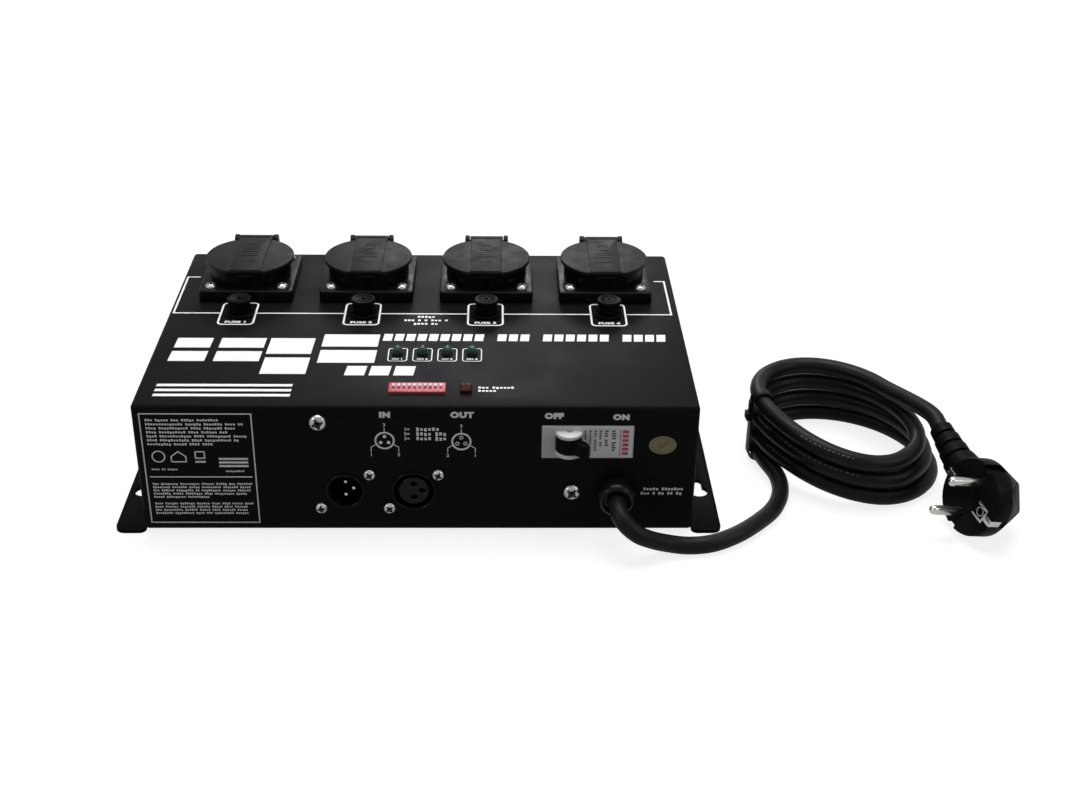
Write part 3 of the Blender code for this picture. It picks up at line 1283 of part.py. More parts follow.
def make_coil_tie():
    """Flat band round the stack of loops, square to the cord."""
    levels = math.ceil(COIL_END / 360.0) - 1
    inner_width = 2 * (CORD_RADIUS + 2 * CLEARANCE)
    inner_height = levels * COIL_PITCH + inner_width
    corner = CORD_RADIUS + CLEARANCE
    around = 2 * TIE_THICKNESS
    outer = rectangle(inner_width + around, inner_height + around, corner + TIE_THICKNESS)
    hole = rectangle(inner_width, inner_height, corner)
    middle, way = coil_place(TIE_ROUND)
    place = middle + way * TIE_WIDTH / 2 + Vector((0.0, 0.0, levels * COIL_PITCH / 2))
    turn = (math.pi / 2, 0.0, math.atan2(-way.x, way.y))
    plate("coil_tie", [outer, hole], TIE_WIDTH, BLACK_PLASTIC, place, turn)


def plug_matrix():
    """Places the plug: local +Z is the way of its pins and +Y that of its earth clip."""
    z = Vector(PLUG_PINS).normalized()
    y = Vector(PLUG_EARTH)
    y = (y - z * y.dot(z)).normalized()
    x = y.cross(z)
    return Matrix.Translation(PLUG_FACE) @ Matrix((x, y, z)).transposed().to_4x4()


def make_plug():
    """Angled plug: round body, neck and strain relief to the side, two pins."""
    place = plug_matrix()
    body = turned(
        "plug_body",
        [
            (0.0, 0.0),
            (PLUG_RADIUS - PLUG_CHAMFER, 0.0),
            (PLUG_RADIUS, -2 * PLUG_CHAMFER),
            (PLUG_RADIUS, -PLUG_RIM_DEPTH),
            (PLUG_BACK_RADIUS, -PLUG_DEPTH),
            (0.0, -PLUG_DEPTH),
        ],
        MEDIUM,
        BLACK_RUBBER,
        PLUG_FACE,
        place.to_euler(),
    )
    shape = bmesh.new()
    neck = (0.0, -PLUG_NECK_REACH, -PLUG_CORD_DEPTH)
    add_rod(shape, (0.0, 0.0, -PLUG_CORD_DEPTH), neck, PLUG_NECK_ROOT, COARSE, PLUG_NECK_RADIUS)
    neck_part = add_object("plug_neck", mesh_of("plug_neck", shape), None, PLUG_FACE, place.to_euler())
    shape = bmesh.new()
    inside = place.inverted() @ Vector(RELIEF_END)
    start = Vector(neck) + (Vector(neck) - inside).normalized() * PLUG_NECK_RADIUS / 2
    add_rod(shape, start, inside, RELIEF_ROOT_RADIUS, COARSE, RELIEF_RADIUS)
    relief = add_object("plug_relief", mesh_of("plug_relief", shape), None, PLUG_FACE, place.to_euler())
    join(body, neck_part, relief)
    shape = bmesh.new()
    for side in (-1, 1):
        x = side * PLUG_PIN_SPACING / 2
        bottom = (x, 0.0, -PLUG_PIN_SEAT - CLEARANCE)
        add_rod(shape, bottom, (x, 0.0, CUT_OVERSHOOT), PLUG_PIN_RADIUS + CLEARANCE, COARSE)
    bottom = (0.0, PLUG_EARTH_HOLE, -PLUG_EARTH_HOLE_DEPTH)
    add_rod(shape, bottom, (0.0, PLUG_EARTH_HOLE, CUT_OVERSHOOT), PLUG_EARTH_HOLE_RADIUS, COARSE)
    cut(body, add_object("plug_holes", mesh_of("plug_holes", shape), None, PLUG_FACE, place.to_euler()))
    settle(body)
    tip = PLUG_PIN_RADIUS / 2
    profile = [
        (0.0, PLUG_PIN_LENGTH),
        (tip, PLUG_PIN_LENGTH),
        (PLUG_PIN_RADIUS, PLUG_PIN_LENGTH - tip),
        (PLUG_PIN_RADIUS, -PLUG_PIN_SEAT),
        (0.0, -PLUG_PIN_SEAT),
    ]
    pin = turned("plug_pin_1", profile, COARSE, NICKEL, turn=place.to_euler())
    copies(pin, "plug_pin", [place @ Vector((side * PLUG_PIN_SPACING / 2, 0.0, 0.0)) for side in (-1, 1)])


make_cover()
make_base_plate()
make_transformer()
make_circuit_board()
make_sockets()
make_socket_earths()
make_socket_lids()
make_fuses()
make_address_switches()
make_lamps()
make_data_plugs()
make_breaker()
make_breaker_toggle()
make_breaker_rail()
make_front_fittings()
make_lead()
make_plug()
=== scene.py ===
"""Looks of the four-channel switch pack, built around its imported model.

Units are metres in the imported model's frame: +X to the right, the front faces -Y, +Z is up, and the origin
is on the ground under the middle of the box.
"""

import math

import bmesh
import bpy
import numpy as np
from mathutils import Matrix, Vector


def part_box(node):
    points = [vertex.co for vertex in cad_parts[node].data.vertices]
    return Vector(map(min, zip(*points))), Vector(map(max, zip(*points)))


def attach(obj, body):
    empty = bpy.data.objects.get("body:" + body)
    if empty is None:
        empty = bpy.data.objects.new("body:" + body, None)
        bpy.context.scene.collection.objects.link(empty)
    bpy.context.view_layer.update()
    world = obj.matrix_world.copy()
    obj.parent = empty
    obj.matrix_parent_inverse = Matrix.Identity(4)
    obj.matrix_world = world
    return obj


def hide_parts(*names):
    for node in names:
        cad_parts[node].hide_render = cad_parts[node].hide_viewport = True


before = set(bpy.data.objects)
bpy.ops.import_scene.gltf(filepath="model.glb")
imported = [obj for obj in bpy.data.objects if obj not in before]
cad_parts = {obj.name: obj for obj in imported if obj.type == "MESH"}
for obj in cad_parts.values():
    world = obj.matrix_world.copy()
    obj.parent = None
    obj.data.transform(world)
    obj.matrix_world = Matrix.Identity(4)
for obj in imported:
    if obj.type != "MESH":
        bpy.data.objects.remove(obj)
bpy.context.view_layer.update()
CASE_LOW, CASE_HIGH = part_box("cover")

# Fits
GAP = 0.0003
OVER = 0.001
WELD = 0.000001
COARSE_WELD = 0.000002
CHANNELS = range(1, 5)


def middle_x(node):
    low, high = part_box(node)
    return (low.x + high.x) / 2


# The case
FRONT = CASE_LOW.y
TOP = CASE_HIGH.z
EAR_START = 0.1355

# Sockets and lids, heights from the top panel
SOCKET_X = [middle_x(f"socket_body_{i}") for i in CHANNELS]
SOCKET_Y = 0.0494
FLANGE = 0.0500
FLANGE_HIGH = 0.0063
WELL = 0.0197
COLLAR = 0.0218
RIM = 0.0140
WELL_FLOOR = -0.0035
SOCKET_DEEP = 0.0290
CONTACT_SPREAD = 0.0095
CONTACT_HOLE = 0.00275
EARTH_WIDTH = 0.0070
EARTH_BED = 0.0014
SCREW_SPREAD = 0.0190
HINGE_BACK = 0.0273
HINGE_HIGH = 0.0130
LID_ROUND = 0.0237
LID_CUT = 0.0213
LID_LOW = 0.0013
LID_THICK = 0.0022
BAND_WIDE = 0.0170
BAND_RISE = 0.0005
LID_MARK_LIFT = 3.5
BARREL = 0.0036
BARREL_LONG = 0.0184
CHEEK_ROUND = 0.0040
CHEEK_THICK = 0.0025

# Fuses, heights from the top panel
FUSE_X = [middle_x(f"fuse_cap_{i}") for i in CHANNELS]
FUSE_Y = 0.0100
CAP_ROUND = 0.0065
CAP_TOP = 0.0095
CAP_LOW = 0.0021
FLUTES = 12
FLUTE_ROUND = 0.00545
FLUTE_DEEP = 0.00035
NECK_ROUND = 0.0044
NECK_DEEP = 0.0090
LINK_BORE = 0.0029
LINK_TOP = -0.0020
LINK_LOW = -0.0220
GLASS_ROUND = 0.00245
GLASS_INSET = 0.0040
FERRULE = 0.0052
BEZEL = 0.0075
BEZEL_HIGH = 0.0018
HOLDER = 0.0062
HOLDER_DEEP = 0.0360

# Lamps and switches
LAMP_X = [0.00675 + (i - 2.5) * 0.01245 for i in CHANNELS]
LAMP_Y = -0.0355
LENS_ROUND = 0.0025
LENS_SIDE = 0.0021
LENS_FOOT = 0.0029
LENS_FOOT_TOP = -0.0032
LENS_LOW = -0.0040
BEAD_ROUND = 0.00095
SWITCH_COUNT = 10
SWITCH_PITCH = 0.00254
SLOT_WIDE = 0.0015
SLOT_LONG = 0.0037
SLOT_DEEP = 0.0009

# Front panel
DATA_IN = Vector((-0.0357, FRONT, 0.0247))
DATA_OUT = Vector((-0.0024, FRONT, 0.0247))
BREAKER = Vector((0.0816, FRONT, 0.0528))
GLAND = Vector((0.09605, FRONT, 0.0245))
UPPER_SCREW = Vector((-0.0471, FRONT, 0.0634))
LOWER_SCREW = Vector((0.0746, FRONT, 0.0247))
DATA_CONTACTS = ((0.0, 0.0037), (0.0, -0.0037), (0.0040, 0.0))
DATA_SEAT = -0.0152
DATA_SEAT_DEEP = 0.0070
DATA_TAIL = -0.0270
CONTACT_ROUND = 0.0012
BREAKER_HALF = 0.00885
NOSE_HALF = 0.0221
NOSE_RISE = 0.0008
LEVER_X = -0.0091
LEVER_Y = -0.0003
DRUM_RECESS = 0.0042
REST_TURN = 40.0
LABEL_THICK = 0.00006
FOIL_THICK = 0.00012
STICKER = (0.1179, 0.0510)

# Mains lead: the same points as the solid's
CORD_ROUND = 0.0044
GLAND_RISE = 0.0102
GLAND_RECESS = 0.0020
LEAD_END_RUN = 0.0040
LEAD_ROUTE = (
    (0.0961, -0.1005, 0.0245), (0.0962, -0.1060, 0.0241), (0.0990, -0.1118, 0.0208),
    (0.1050, -0.1140, 0.0158), (0.1125, -0.1117, 0.0108), (0.1210, -0.1088, 0.0068),
    (0.1310, -0.1076, 0.0047), (0.1430, -0.1055, 0.0045), (0.1560, -0.0980, 0.0045),
    (0.1680, -0.0870, 0.0045), (0.1780, -0.0745, 0.0045), (0.1838, -0.0600, 0.0045),
    (0.1850, -0.0480, 0.0050), (0.1838, -0.0395, 0.0055), (0.1812, -0.0314, 0.0058),
)
COIL_CENTRE = (0.2203, -0.0188)
COIL_HALF_LENGTH = 0.0480
COIL_HALF_WIDTH = 0.0397
COIL_TILT = -55.6
COIL_DRIFT = 0.0080
COIL_START = -65.0
COIL_END = 1175.0
COIL_POINTS_PER_LOOP = 24
COIL_PITCH = 0.0098
COIL_CLIMB_START = 184.0
COIL_CLIMB_END = 284.0
COIL_TIE_LIFT = 0.0015
COIL_LIFT_REACH = 70.0
TIE_ROUND = -58.0
TIE_LEVELS = 3
TIE_WIDE = 0.0060
TIE_THICK = 0.0008
CORD_STEP = 0.0030

# Plug lying on its side: the middle of its face, and the ways of its pins and earth clip
PLUG_FACE = (0.2711, -0.0900, 0.0217)
PLUG_PINS = (-0.892, -0.364, 0.266)
PLUG_EARTH = (0.309, -0.923, -0.229)
RELIEF_END = (0.2680, -0.0395, 0.0318)
PLUG_ROUND = 0.0195
PLUG_RIM = 0.0100
PLUG_BACK = 0.0100
PLUG_DEEP = 0.0280
PLUG_CORD = 0.0115
PLUG_FLAT_START = 0.0192
PLUG_FLAT_END = 0.0060
NECK_ROOT = 0.0110
NECK_REACH = 0.0260
NECK_THICK = 0.0085
RELIEF_THIN = 0.0054
PRONG_SPREAD = 0.0095
PRONG_ROUND = 0.0024
PRONG_LONG = 0.0190
PRONG_SEAT = 0.0050
EARTH_HOLE = 0.0105

# Print
INK_SINK = 0.00003
INK_RISE = 0.00005

TO_FRONT = Matrix.Rotation(math.pi / 2, 4, "X")
TO_SIDE = Matrix.Rotation(math.pi / 2, 4, "Z") @ Matrix.Rotation(math.pi / 2, 4, "X")


# Materials


def new_material(name):
    made = bpy.data.materials.new(name)
    made.use_nodes = True
    return made, made.node_tree.nodes, made.node_tree.links


def noise(nodes, links, coords, scale, detail=4.0, stretch=None):
    """A noise texture on the piece's own coordinates, drawn out along one axis where stretch is given."""
    made = nodes.new("ShaderNodeTexNoise")
    made.inputs["Scale"].default_value = scale
    made.inputs["Detail"].default_value = detail
    source = coords.outputs["Object"]
    if stretch:
        mapping = nodes.new("ShaderNodeMapping")
        mapping.inputs["Scale"].default_value = stretch
        links.new(source, mapping.inputs["Vector"])
        source = mapping.outputs["Vector"]
    links.new(source, made.inputs["Vector"])
    return made.outputs["Fac"]


def ramp(nodes, links, source, low, high, to_low, to_high):
    """Maps low..high to to_low..to_high and holds the ends."""
    made = nodes.new("ShaderNodeMapRange")
    for key, value in (("From Min", low), ("From Max", high), ("To Min", to_low), ("To Max", to_high)):
        made.inputs[key].default_value = value
    links.new(source, made.inputs["Value"])
    return made.outputs["Result"]


def mixed(nodes, links, share, first, second):
    """Mixes two colours, or what is linked, by share."""
    made = nodes.new("ShaderNodeMix")
    made.data_type = "RGBA"
    links.new(share, made.inputs[0])
    for socket, value in ((made.inputs[6], first), (made.inputs[7], second)):
        if isinstance(value, tuple):
            socket.default_value = (*value, 1.0)
        else:
            links.new(value, socket)
    return made.outputs[2]


def finish(
    name, colour, roughness, metallic=0.0, grain=(1500.0, 0.00002, 0.5), cloud=(30.0, 0.15), spread=0.08,
    specular=0.5, coat=0.0, stretch=None, worn=None, transmission=0.0,
):
    """A finish with fine grain, clouded colour, uneven gloss and, where worn is given, lighter edges."""
    made, nodes, links = new_material(name)
    shader = nodes["Principled BSDF"]
    shader.inputs["Metallic"].default_value = metallic
    shader.inputs["Specular IOR Level"].default_value = specular
    shader.inputs["Coat Weight"].default_value = coat
    shader.inputs["Coat Roughness"].default_value = 0.12
    shader.inputs["Transmission Weight"].default_value = transmission
    coords = nodes.new("ShaderNodeTexCoord")
    clouds = noise(nodes, links, coords, cloud[0], 5.0)
    dark = tuple(c * (1 - cloud[1]) for c in colour)
    light = tuple(min(1.0, c * (1 + cloud[1])) for c in colour)
    tint = mixed(nodes, links, ramp(nodes, links, clouds, 0.3, 0.7, 0.0, 1.0), dark, light)
    if worn:
        width, edge_colour, amount = worn
        soft = nodes.new("ShaderNodeBevel")
        soft.samples = 4
        soft.inputs["Radius"].default_value = width
        plain = nodes.new("ShaderNodeNewGeometry")
        dot = nodes.new("ShaderNodeVectorMath")
        dot.operation = "DOT_PRODUCT"
        links.new(soft.outputs["Normal"], dot.inputs[0])
        links.new(plain.outputs["Normal"], dot.inputs[1])
        edge = ramp(nodes, links, dot.outputs["Value"], 0.98, 0.80, 0.0, amount)
        patches = ramp(nodes, links, noise(nodes, links, coords, 260.0, 6.0), 0.42, 0.62, 0.15, 1.0)
        product = nodes.new("ShaderNodeMath")
        product.operation = "MULTIPLY"
        links.new(edge, product.inputs[0])
        links.new(patches, product.inputs[1])
        tint = mixed(nodes, links, product.outputs[0], tint, edge_colour)
    links.new(tint, shader.inputs["Base Color"])
    uneven = noise(nodes, links, coords, cloud[0] * 3.1, 3.0)
    low, high = max(0.03, roughness - spread), min(1.0, roughness + spread)
    links.new(ramp(nodes, links, uneven, 0.3, 0.7, low, high), shader.inputs["Roughness"])
    bump = nodes.new("ShaderNodeBump")
    bump.inputs["Strength"].default_value = grain[2]
    bump.inputs["Distance"].default_value = grain[1]
    links.new(noise(nodes, links, coords, grain[0], 3.0, stretch), bump.inputs["Height"])
    links.new(bump.outputs["Normal"], shader.inputs["Normal"])
    return made


POWDER_COAT = finish(
    "powder_coat", (0.0045, 0.0045, 0.0048), 0.46, grain=(1400.0, 0.00004, 0.35), cloud=(14.0, 0.12),
    spread=0.05, specular=0.045, worn=(0.0008, (0.05, 0.05, 0.052), 0.25),
)
# The powder coat again, darker and duller, for the base plate and its ears: painted shade.
SHADED_POWDER_COAT = finish(
    "shaded_powder_coat", (0.0035, 0.0035, 0.0038), 0.50, grain=(1400.0, 0.00004, 0.35), cloud=(14.0, 0.12),
    spread=0.05, specular=0.020, worn=(0.0008, (0.05, 0.05, 0.052), 0.15),
)
LID_PLASTIC = finish(
    "lid_plastic", (0.0068, 0.0068, 0.0073), 0.48,
    grain=(2600.0, 0.00003, 0.30), cloud=(40.0, 0.10), specular=0.11,
)
SOCKET_PLASTIC = finish(
    "socket_plastic", (0.0040, 0.0040, 0.0043), 0.30,
    grain=(2400.0, 0.00002, 0.25), cloud=(40.0, 0.12), specular=0.08,
)
KNOB_PLASTIC = finish(
    "knob_plastic", (0.0030, 0.0030, 0.0033), 0.38,
    grain=(2600.0, 0.00002, 0.30), cloud=(60.0, 0.12), specular=0.035,
)
GLAND_NYLON = finish(
    "gland_nylon", (0.0050, 0.0050, 0.0052), 0.26,
    grain=(2000.0, 0.00003, 0.30), cloud=(60.0, 0.12), specular=0.15,
)
CORD_SHEATH = finish(
    "cord_sheath", (0.0062, 0.0064, 0.0068), 0.40,
    grain=(700.0, 0.00006, 0.25), cloud=(35.0, 0.18), specular=0.14,
)
PLUG_RUBBER = finish(
    "plug_rubber", (0.0032, 0.0032, 0.0034), 0.44,
    grain=(1500.0, 0.00006, 0.35), cloud=(50.0, 0.15), specular=0.05,
)
TIE_NYLON = finish(
    "tie_nylon", (0.0055, 0.0055, 0.0055), 0.36,
    grain=(1800.0, 0.00003, 0.30), cloud=(60.0, 0.15), specular=0.10,
)
NICKEL_PLATE = finish(
    "nickel_plate", (0.66, 0.64, 0.60), 0.20, 1.0,
    grain=(900.0, 0.00001, 0.4), cloud=(120.0, 0.10), spread=0.08,
)
ZINC_PLATE = finish(
    "zinc_plate", (0.50, 0.51, 0.52), 0.30, 1.0, grain=(1300.0, 0.00002, 0.6), cloud=(180.0, 0.16),
    spread=0.12,
)
SPRING_BRASS = finish(
    "spring_metal", (0.60, 0.56, 0.47), 0.30, 1.0,
    grain=(900.0, 0.00002, 0.5), cloud=(90.0, 0.15), stretch=(1, 8, 1),
)
SWITCH_RED = finish(
    "switch_red", (0.50, 0.066, 0.090), 0.36, grain=(2400.0, 0.00002, 0.3), cloud=(150.0, 0.10)
)
SWITCH_WHITE = finish(
    "switch_white", (0.88, 0.84, 0.84), 0.38, grain=(3000.0, 0.00001, 0.3), cloud=(400.0, 0.06)
)
LAMP_GREEN = finish(
    "lamp_green", (0.010, 0.072, 0.044), 0.16, cloud=(200.0, 0.15), spread=0.04, specular=0.25, coat=0.20,
    transmission=0.15,
)
WINDOW_RED = finish(
    "window_red", (0.036, 0.009, 0.006), 0.60, cloud=(260.0, 0.2), spread=0.06, specular=0.05
)
LAMP_CLEAR = finish(
    "lamp_clear", (0.11, 0.050, 0.040), 0.35, cloud=(300.0, 0.1), spread=0.05, specular=0.15
)
BREAKER_GREY = finish(
    "breaker_grey", (0.58, 0.58, 0.57), 0.42, grain=(2200.0, 0.00003, 0.3), cloud=(70.0, 0.05), specular=0.4
)
BREAKER_WHITE = finish(
    "breaker_white", (0.86, 0.87, 0.87), 0.34,
    grain=(2600.0, 0.00002, 0.25), cloud=(90.0, 0.03), specular=0.5,
)
LABEL_FILM = finish(
    "label_film", (0.80, 0.805, 0.81), 0.38, grain=(900.0, 0.00001, 0.2), cloud=(60.0, 0.04)
)
INK_WHITE = finish(
    "ink_white", (0.90, 0.925, 0.95), 0.50, grain=(2200.0, 0.00003, 0.5), cloud=(160.0, 0.07)
)
# Near-black patches at the bottom of the screws' recesses: painted shade.
PAINTED_RECESS_SHADE = finish(
    "painted_recess_shade", (0.010, 0.0095, 0.009), 0.60, grain=(2200.0, 0.00004, 0.5), cloud=(300.0, 0.3)
)
INK_GREY = finish(
    "ink_grey", (0.085, 0.085, 0.090), 0.50, grain=(2200.0, 0.00002, 0.5), cloud=(200.0, 0.15)
)
INK_ROSE = finish("ink_rose", (0.84, 0.62, 0.64), 0.50, grain=(2200.0, 0.00002, 0.5), cloud=(200.0, 0.10))
INK_PINK = finish("ink_red", (0.50, 0.065, 0.085), 0.48, grain=(2200.0, 0.00002, 0.5), cloud=(200.0, 0.10))
FOIL_GOLD = finish(
    "foil_gold", (0.165, 0.140, 0.062), 0.40, 0.35,
    grain=(700.0, 0.00003, 0.5), cloud=(240.0, 0.14), spread=0.1,
)
BOARD_LACQUER = finish("board_lacquer", (0.02, 0.15, 0.06), 0.32, cloud=(300.0, 0.35), coat=0.3)
CORE_STEEL = finish(
    "core_steel", (0.28, 0.28, 0.29), 0.42, 1.0,
    grain=(500.0, 0.0001, 0.8), cloud=(80.0, 0.3), stretch=(1, 12, 1),
)
FUSE_GLASS = finish(
    "fuse_glass", (0.80, 0.84, 0.84), 0.06, cloud=(60.0, 0.05), spread=0.03, coat=0.5, transmission=0.85
)


# Making and placing forms


def show(made):
    bpy.context.scene.collection.objects.link(made)


def place_at(x, y, z):
    return Matrix.Translation((x, y, z))


def turned(degrees):
    return Matrix.Rotation(math.radians(degrees), 4, "Z")


def form_of(curve, weld):
    """The form of a text or a bevelled curve, which it frees."""
    made = bpy.data.objects.new(curve.name, curve)
    show(made)
    graph = bpy.context.evaluated_depsgraph_get()
    mesh = bpy.data.meshes.new_from_object(made.evaluated_get(graph))
    bpy.data.objects.remove(made, do_unlink=True)
    bpy.data.curves.remove(curve)
    shape = bmesh.new()
    shape.from_mesh(mesh)
    bpy.data.meshes.remove(mesh)
    bmesh.ops.remove_doubles(shape, verts=shape.verts, dist=weld)
    return shape


def stamp(shape, mesh, place=None):
    """Adds a mesh to the form, moved to its place."""
    passing = mesh.copy()
    if place is not None:
        passing.transform(place)
    shape.from_mesh(passing)
    bpy.data.meshes.remove(passing)


def put(shape, other, place=None):
    """Adds another form, moved to its place, and frees it."""
    if place is not None:
        bmesh.ops.transform(other, matrix=place, verts=other.verts)
        if place.determinant() < 0:
            bmesh.ops.reverse_faces(other, faces=other.faces)
    passing = bpy.data.meshes.new("passing")
    other.to_mesh(passing)
    other.free()
    shape.from_mesh(passing)
    bpy.data.meshes.remove(passing)


def soften(shape, width, steps=2, least=30.0, where=None):
    """Rounds the form's creases, or those of them whose middle passes the test."""
    edges = [
        e
        for e in shape.edges
        if len(e.link_faces) == 2
        and e.calc_face_angle(0.0) > math.radians(least)
        and (where is None or where((e.verts[0].co + e.verts[1].co) / 2))
    ]
    bmesh.ops.bevel(
        shape, geom=edges, offset=width, offset_type="OFFSET", segments=steps, profile=0.5,
        affect="EDGES", clamp_overlap=True, material=-1,
    )


def block(low, high, soft=0.0, steps=2):
    """A box between two corners."""
    shape = bmesh.new()
    size = Vector(high) - Vector(low)
    middle = (Vector(high) + Vector(low)) / 2
    place = Matrix.Translation(middle) @ Matrix.Diagonal((*size, 1.0))
    bmesh.ops.create_cube(shape, size=1.0, matrix=place)
    if soft:
        soften(shape, soft, steps)
    return shape


def rod(start, end, radius, segments=32, end_radius=None):
    """A round bar, or a cone where the end has its own radius."""
    shape = bmesh.new()
    way = Vector(end) - Vector(start)
    turn = Vector((0, 0, 1)).rotation_difference(way).to_matrix().to_4x4()
    bmesh.ops.create_cone(
        shape, cap_ends=True, segments=segments, radius1=radius,
        radius2=radius if end_radius is None else end_radius, depth=way.length,
        matrix=Matrix.Translation((Vector(end) + Vector(start)) / 2) @ turn,
    )
    return shape


def spun(profile, segments=64):
    """A round form about +Z: the profile (radius, height) turned through a full circle."""
    shape = bmesh.new()
    points = [shape.verts.new((radius, 0.0, height)) for radius, height in profile]
    edges = [shape.edges.new(pair) for pair in zip(points, points[1:])]
    bmesh.ops.spin(
        shape, geom=points + edges, cent=(0, 0, 0), axis=(0, 0, 1), angle=2 * math.pi, steps=segments,
        use_merge=True,
    )
    bmesh.ops.remove_doubles(shape, verts=shape.verts, dist=COARSE_WELD)
    bmesh.ops.recalc_face_normals(shape, faces=shape.faces)
    return shape


def arc(x, y, radius, begin, end, steps):
    """Points along an arc, angles in degrees."""
    angles = np.radians(np.linspace(begin, end, steps + 1))
    return [(x + radius * math.cos(a), y + radius * math.sin(a)) for a in angles]


def dome(radius, rise, foot, steps):
    """The profile of a dome from its top to its rim."""
    turns = np.linspace(0, math.pi / 2, steps)
    return [(radius * math.sin(a), foot + rise * math.cos(a)) for a in turns]


def rounded_box(width, height, radius, x=0.0, y=0.0, steps=4):
    """The outline of a rounded rectangle about a point."""
    dx, dy = width / 2 - radius, height / 2 - radius
    corners = ((dx, dy, 0), (-dx, dy, 90), (-dx, -dy, 180), (dx, -dy, 270))
    return [p for cx, cy, begin in corners for p in arc(x + cx, y + cy, radius, begin, begin + 90, steps)]


def slab(outline, low, high, soft=0.0, steps=2, where=None):
    """A flat piece with this outline, from one height to the other."""
    shape = bmesh.new()
    face = shape.faces.new([shape.verts.new((x, y, low)) for x, y in outline])
    made = bmesh.ops.extrude_face_region(shape, geom=[face])
    lifted = [v for v in made["geom"] if isinstance(v, bmesh.types.BMVert)]
    bmesh.ops.translate(shape, verts=lifted, vec=(0, 0, high - low))
    bmesh.ops.recalc_face_normals(shape, faces=shape.faces)
    if soft:
        soften(shape, soft, steps, 40.0, where)
    return shape


def carved(shape, *cutters):
    """The form less the cutters."""
    return combined(shape, "DIFFERENCE", *cutters)


def combined(shape, operation, *others):
    """The form joined with the others, or cut by them."""
    mesh = bpy.data.meshes.new("passing")
    shape.to_mesh(mesh)
    shape.free()
    target = bpy.data.objects.new("passing", mesh)
    show(target)
    tools = []
    for other in others:
        tool_mesh = bpy.data.meshes.new("tool")
        other.to_mesh(tool_mesh)
        other.free()
        tool = bpy.data.objects.new("tool", tool_mesh)
        show(tool)
        modifier = target.modifiers.new("Cut", "BOOLEAN")
        modifier.operation = operation
        modifier.object = tool
        modifier.solver = "EXACT"
        tools.append(tool)
    graph = bpy.context.evaluated_depsgraph_get()
    result = bmesh.new()
    cut = bpy.data.meshes.new_from_object(target.evaluated_get(graph))
    result.from_mesh(cut)
    for spare in [target, *tools]:
        data = spare.data
        bpy.data.objects.remove(spare, do_unlink=True)
        bpy.data.meshes.remove(data)
    bpy.data.meshes.remove(cut)
    bmesh.ops.remove_doubles(result, verts=result.verts, dist=WELD)
    return result


def mesh_of(shape, name="form"):
    mesh = bpy.data.meshes.new(name)
    shape.to_mesh(mesh)
    shape.free()
    return mesh


def piece(name, shape, material, body="enclosure", nodes=(), slot=None, smooth=32.0):
    """A finished piece: its mesh is in place, and it rides on its body and stands for its nodes."""
    mesh = shape if isinstance(shape, bpy.types.Mesh) else mesh_of(shape, name)
    mesh.materials.clear()
    mesh.materials.append(material)
    mesh.shade_smooth()
    mesh.set_sharp_from_angle(angle=math.radians(smooth))
    made = bpy.data.objects.new(name, mesh)
    show(made)
    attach(made, body)
    if nodes:
        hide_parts(*nodes)
    return made


def place_copies(places, *rows):
    """Each channel's pieces, one from each row's mesh; body and node take the channel's number."""
    for i, place in zip(CHANNELS, places):
        for name, mesh, material, body, node, looks in rows:
            shape = bmesh.new()
            stamp(shape, mesh, place)
            nodes = (node.format(i),) if node else ()
            piece(f"{name}_{i}", shape, material, body.format(i), nodes, **looks)


def merged_copy(node):
    """A node's mesh as one closed form with its flat faces whole."""
    shape = bmesh.new()
    shape.from_mesh(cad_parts[node].data)
    bmesh.ops.remove_doubles(shape, verts=shape.verts, dist=WELD)
    bmesh.ops.dissolve_limit(shape, angle_limit=math.radians(0.5), verts=shape.verts, edges=shape.edges)
    return shape


def dress(node, material):
    """A node that stays gets its finish."""
    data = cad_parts[node].data
    data.materials.clear()
    data.materials.append(material)


# Camera, floor and light, as the photograph was taken

MIRRORED_SHARE = 0.50
FLOOR_GREY = 0.25
FLOOR_LIFT = 0.83
WORLD_LIGHT = 0.09
LAMPS = (
    ("lamp_above", (0.10, 0.30, 1.55), (0.05, -0.02, 0.0), 1.3, 1.0, 24.0),
    ("lamp_behind", (0.09, 1.55, 0.86), (0.06, 0.0, 0.07), 0.55, 0.35, 4.4),
    ("lamp_left", (-1.30, -0.75, 0.95), (0.0, 0.0, 0.04), 0.5, 0.5, 3.2),
    ("lamp_right", (1.40, -0.55, 0.95), (0.05, 0.0, 0.04), 0.5, 0.5, 3.6),
)
VIEW_PLACE = Vector((0.03710, -0.73020, 0.42878))
VIEW_TILT = math.radians(29.052)
VIEW_YAW = math.radians(1.9025)
VIEW_ROLL = math.radians(1.0589)
FRAME_WIDE = 1080.0
FOCAL = 1547.12


def make_camera():
    level = Vector((math.cos(VIEW_YAW), -math.sin(VIEW_YAW), 0.0))
    along = Vector((math.sin(VIEW_YAW), math.cos(VIEW_YAW), 0.0))
    ahead = along * math.cos(VIEW_TILT) - Vector((0.0, 0.0, math.sin(VIEW_TILT)))
    above = level.cross(ahead)
    right = math.cos(VIEW_ROLL) * level + math.sin(VIEW_ROLL) * above
    up = -math.sin(VIEW_ROLL) * level + math.cos(VIEW_ROLL) * above
    data = bpy.data.cameras.new("view")
    data.sensor_width = 36.0
    data.lens = data.sensor_width * FOCAL / FRAME_WIDE
    data.clip_start = 0.01
    data.clip_end = 50.0
    camera = bpy.data.objects.new("view", data)
    turn = Matrix((right, up, -ahead)).transposed().to_4x4()
    camera.matrix_world = Matrix.Translation(VIEW_PLACE) @ turn
    show(camera)
    bpy.context.scene.camera = camera


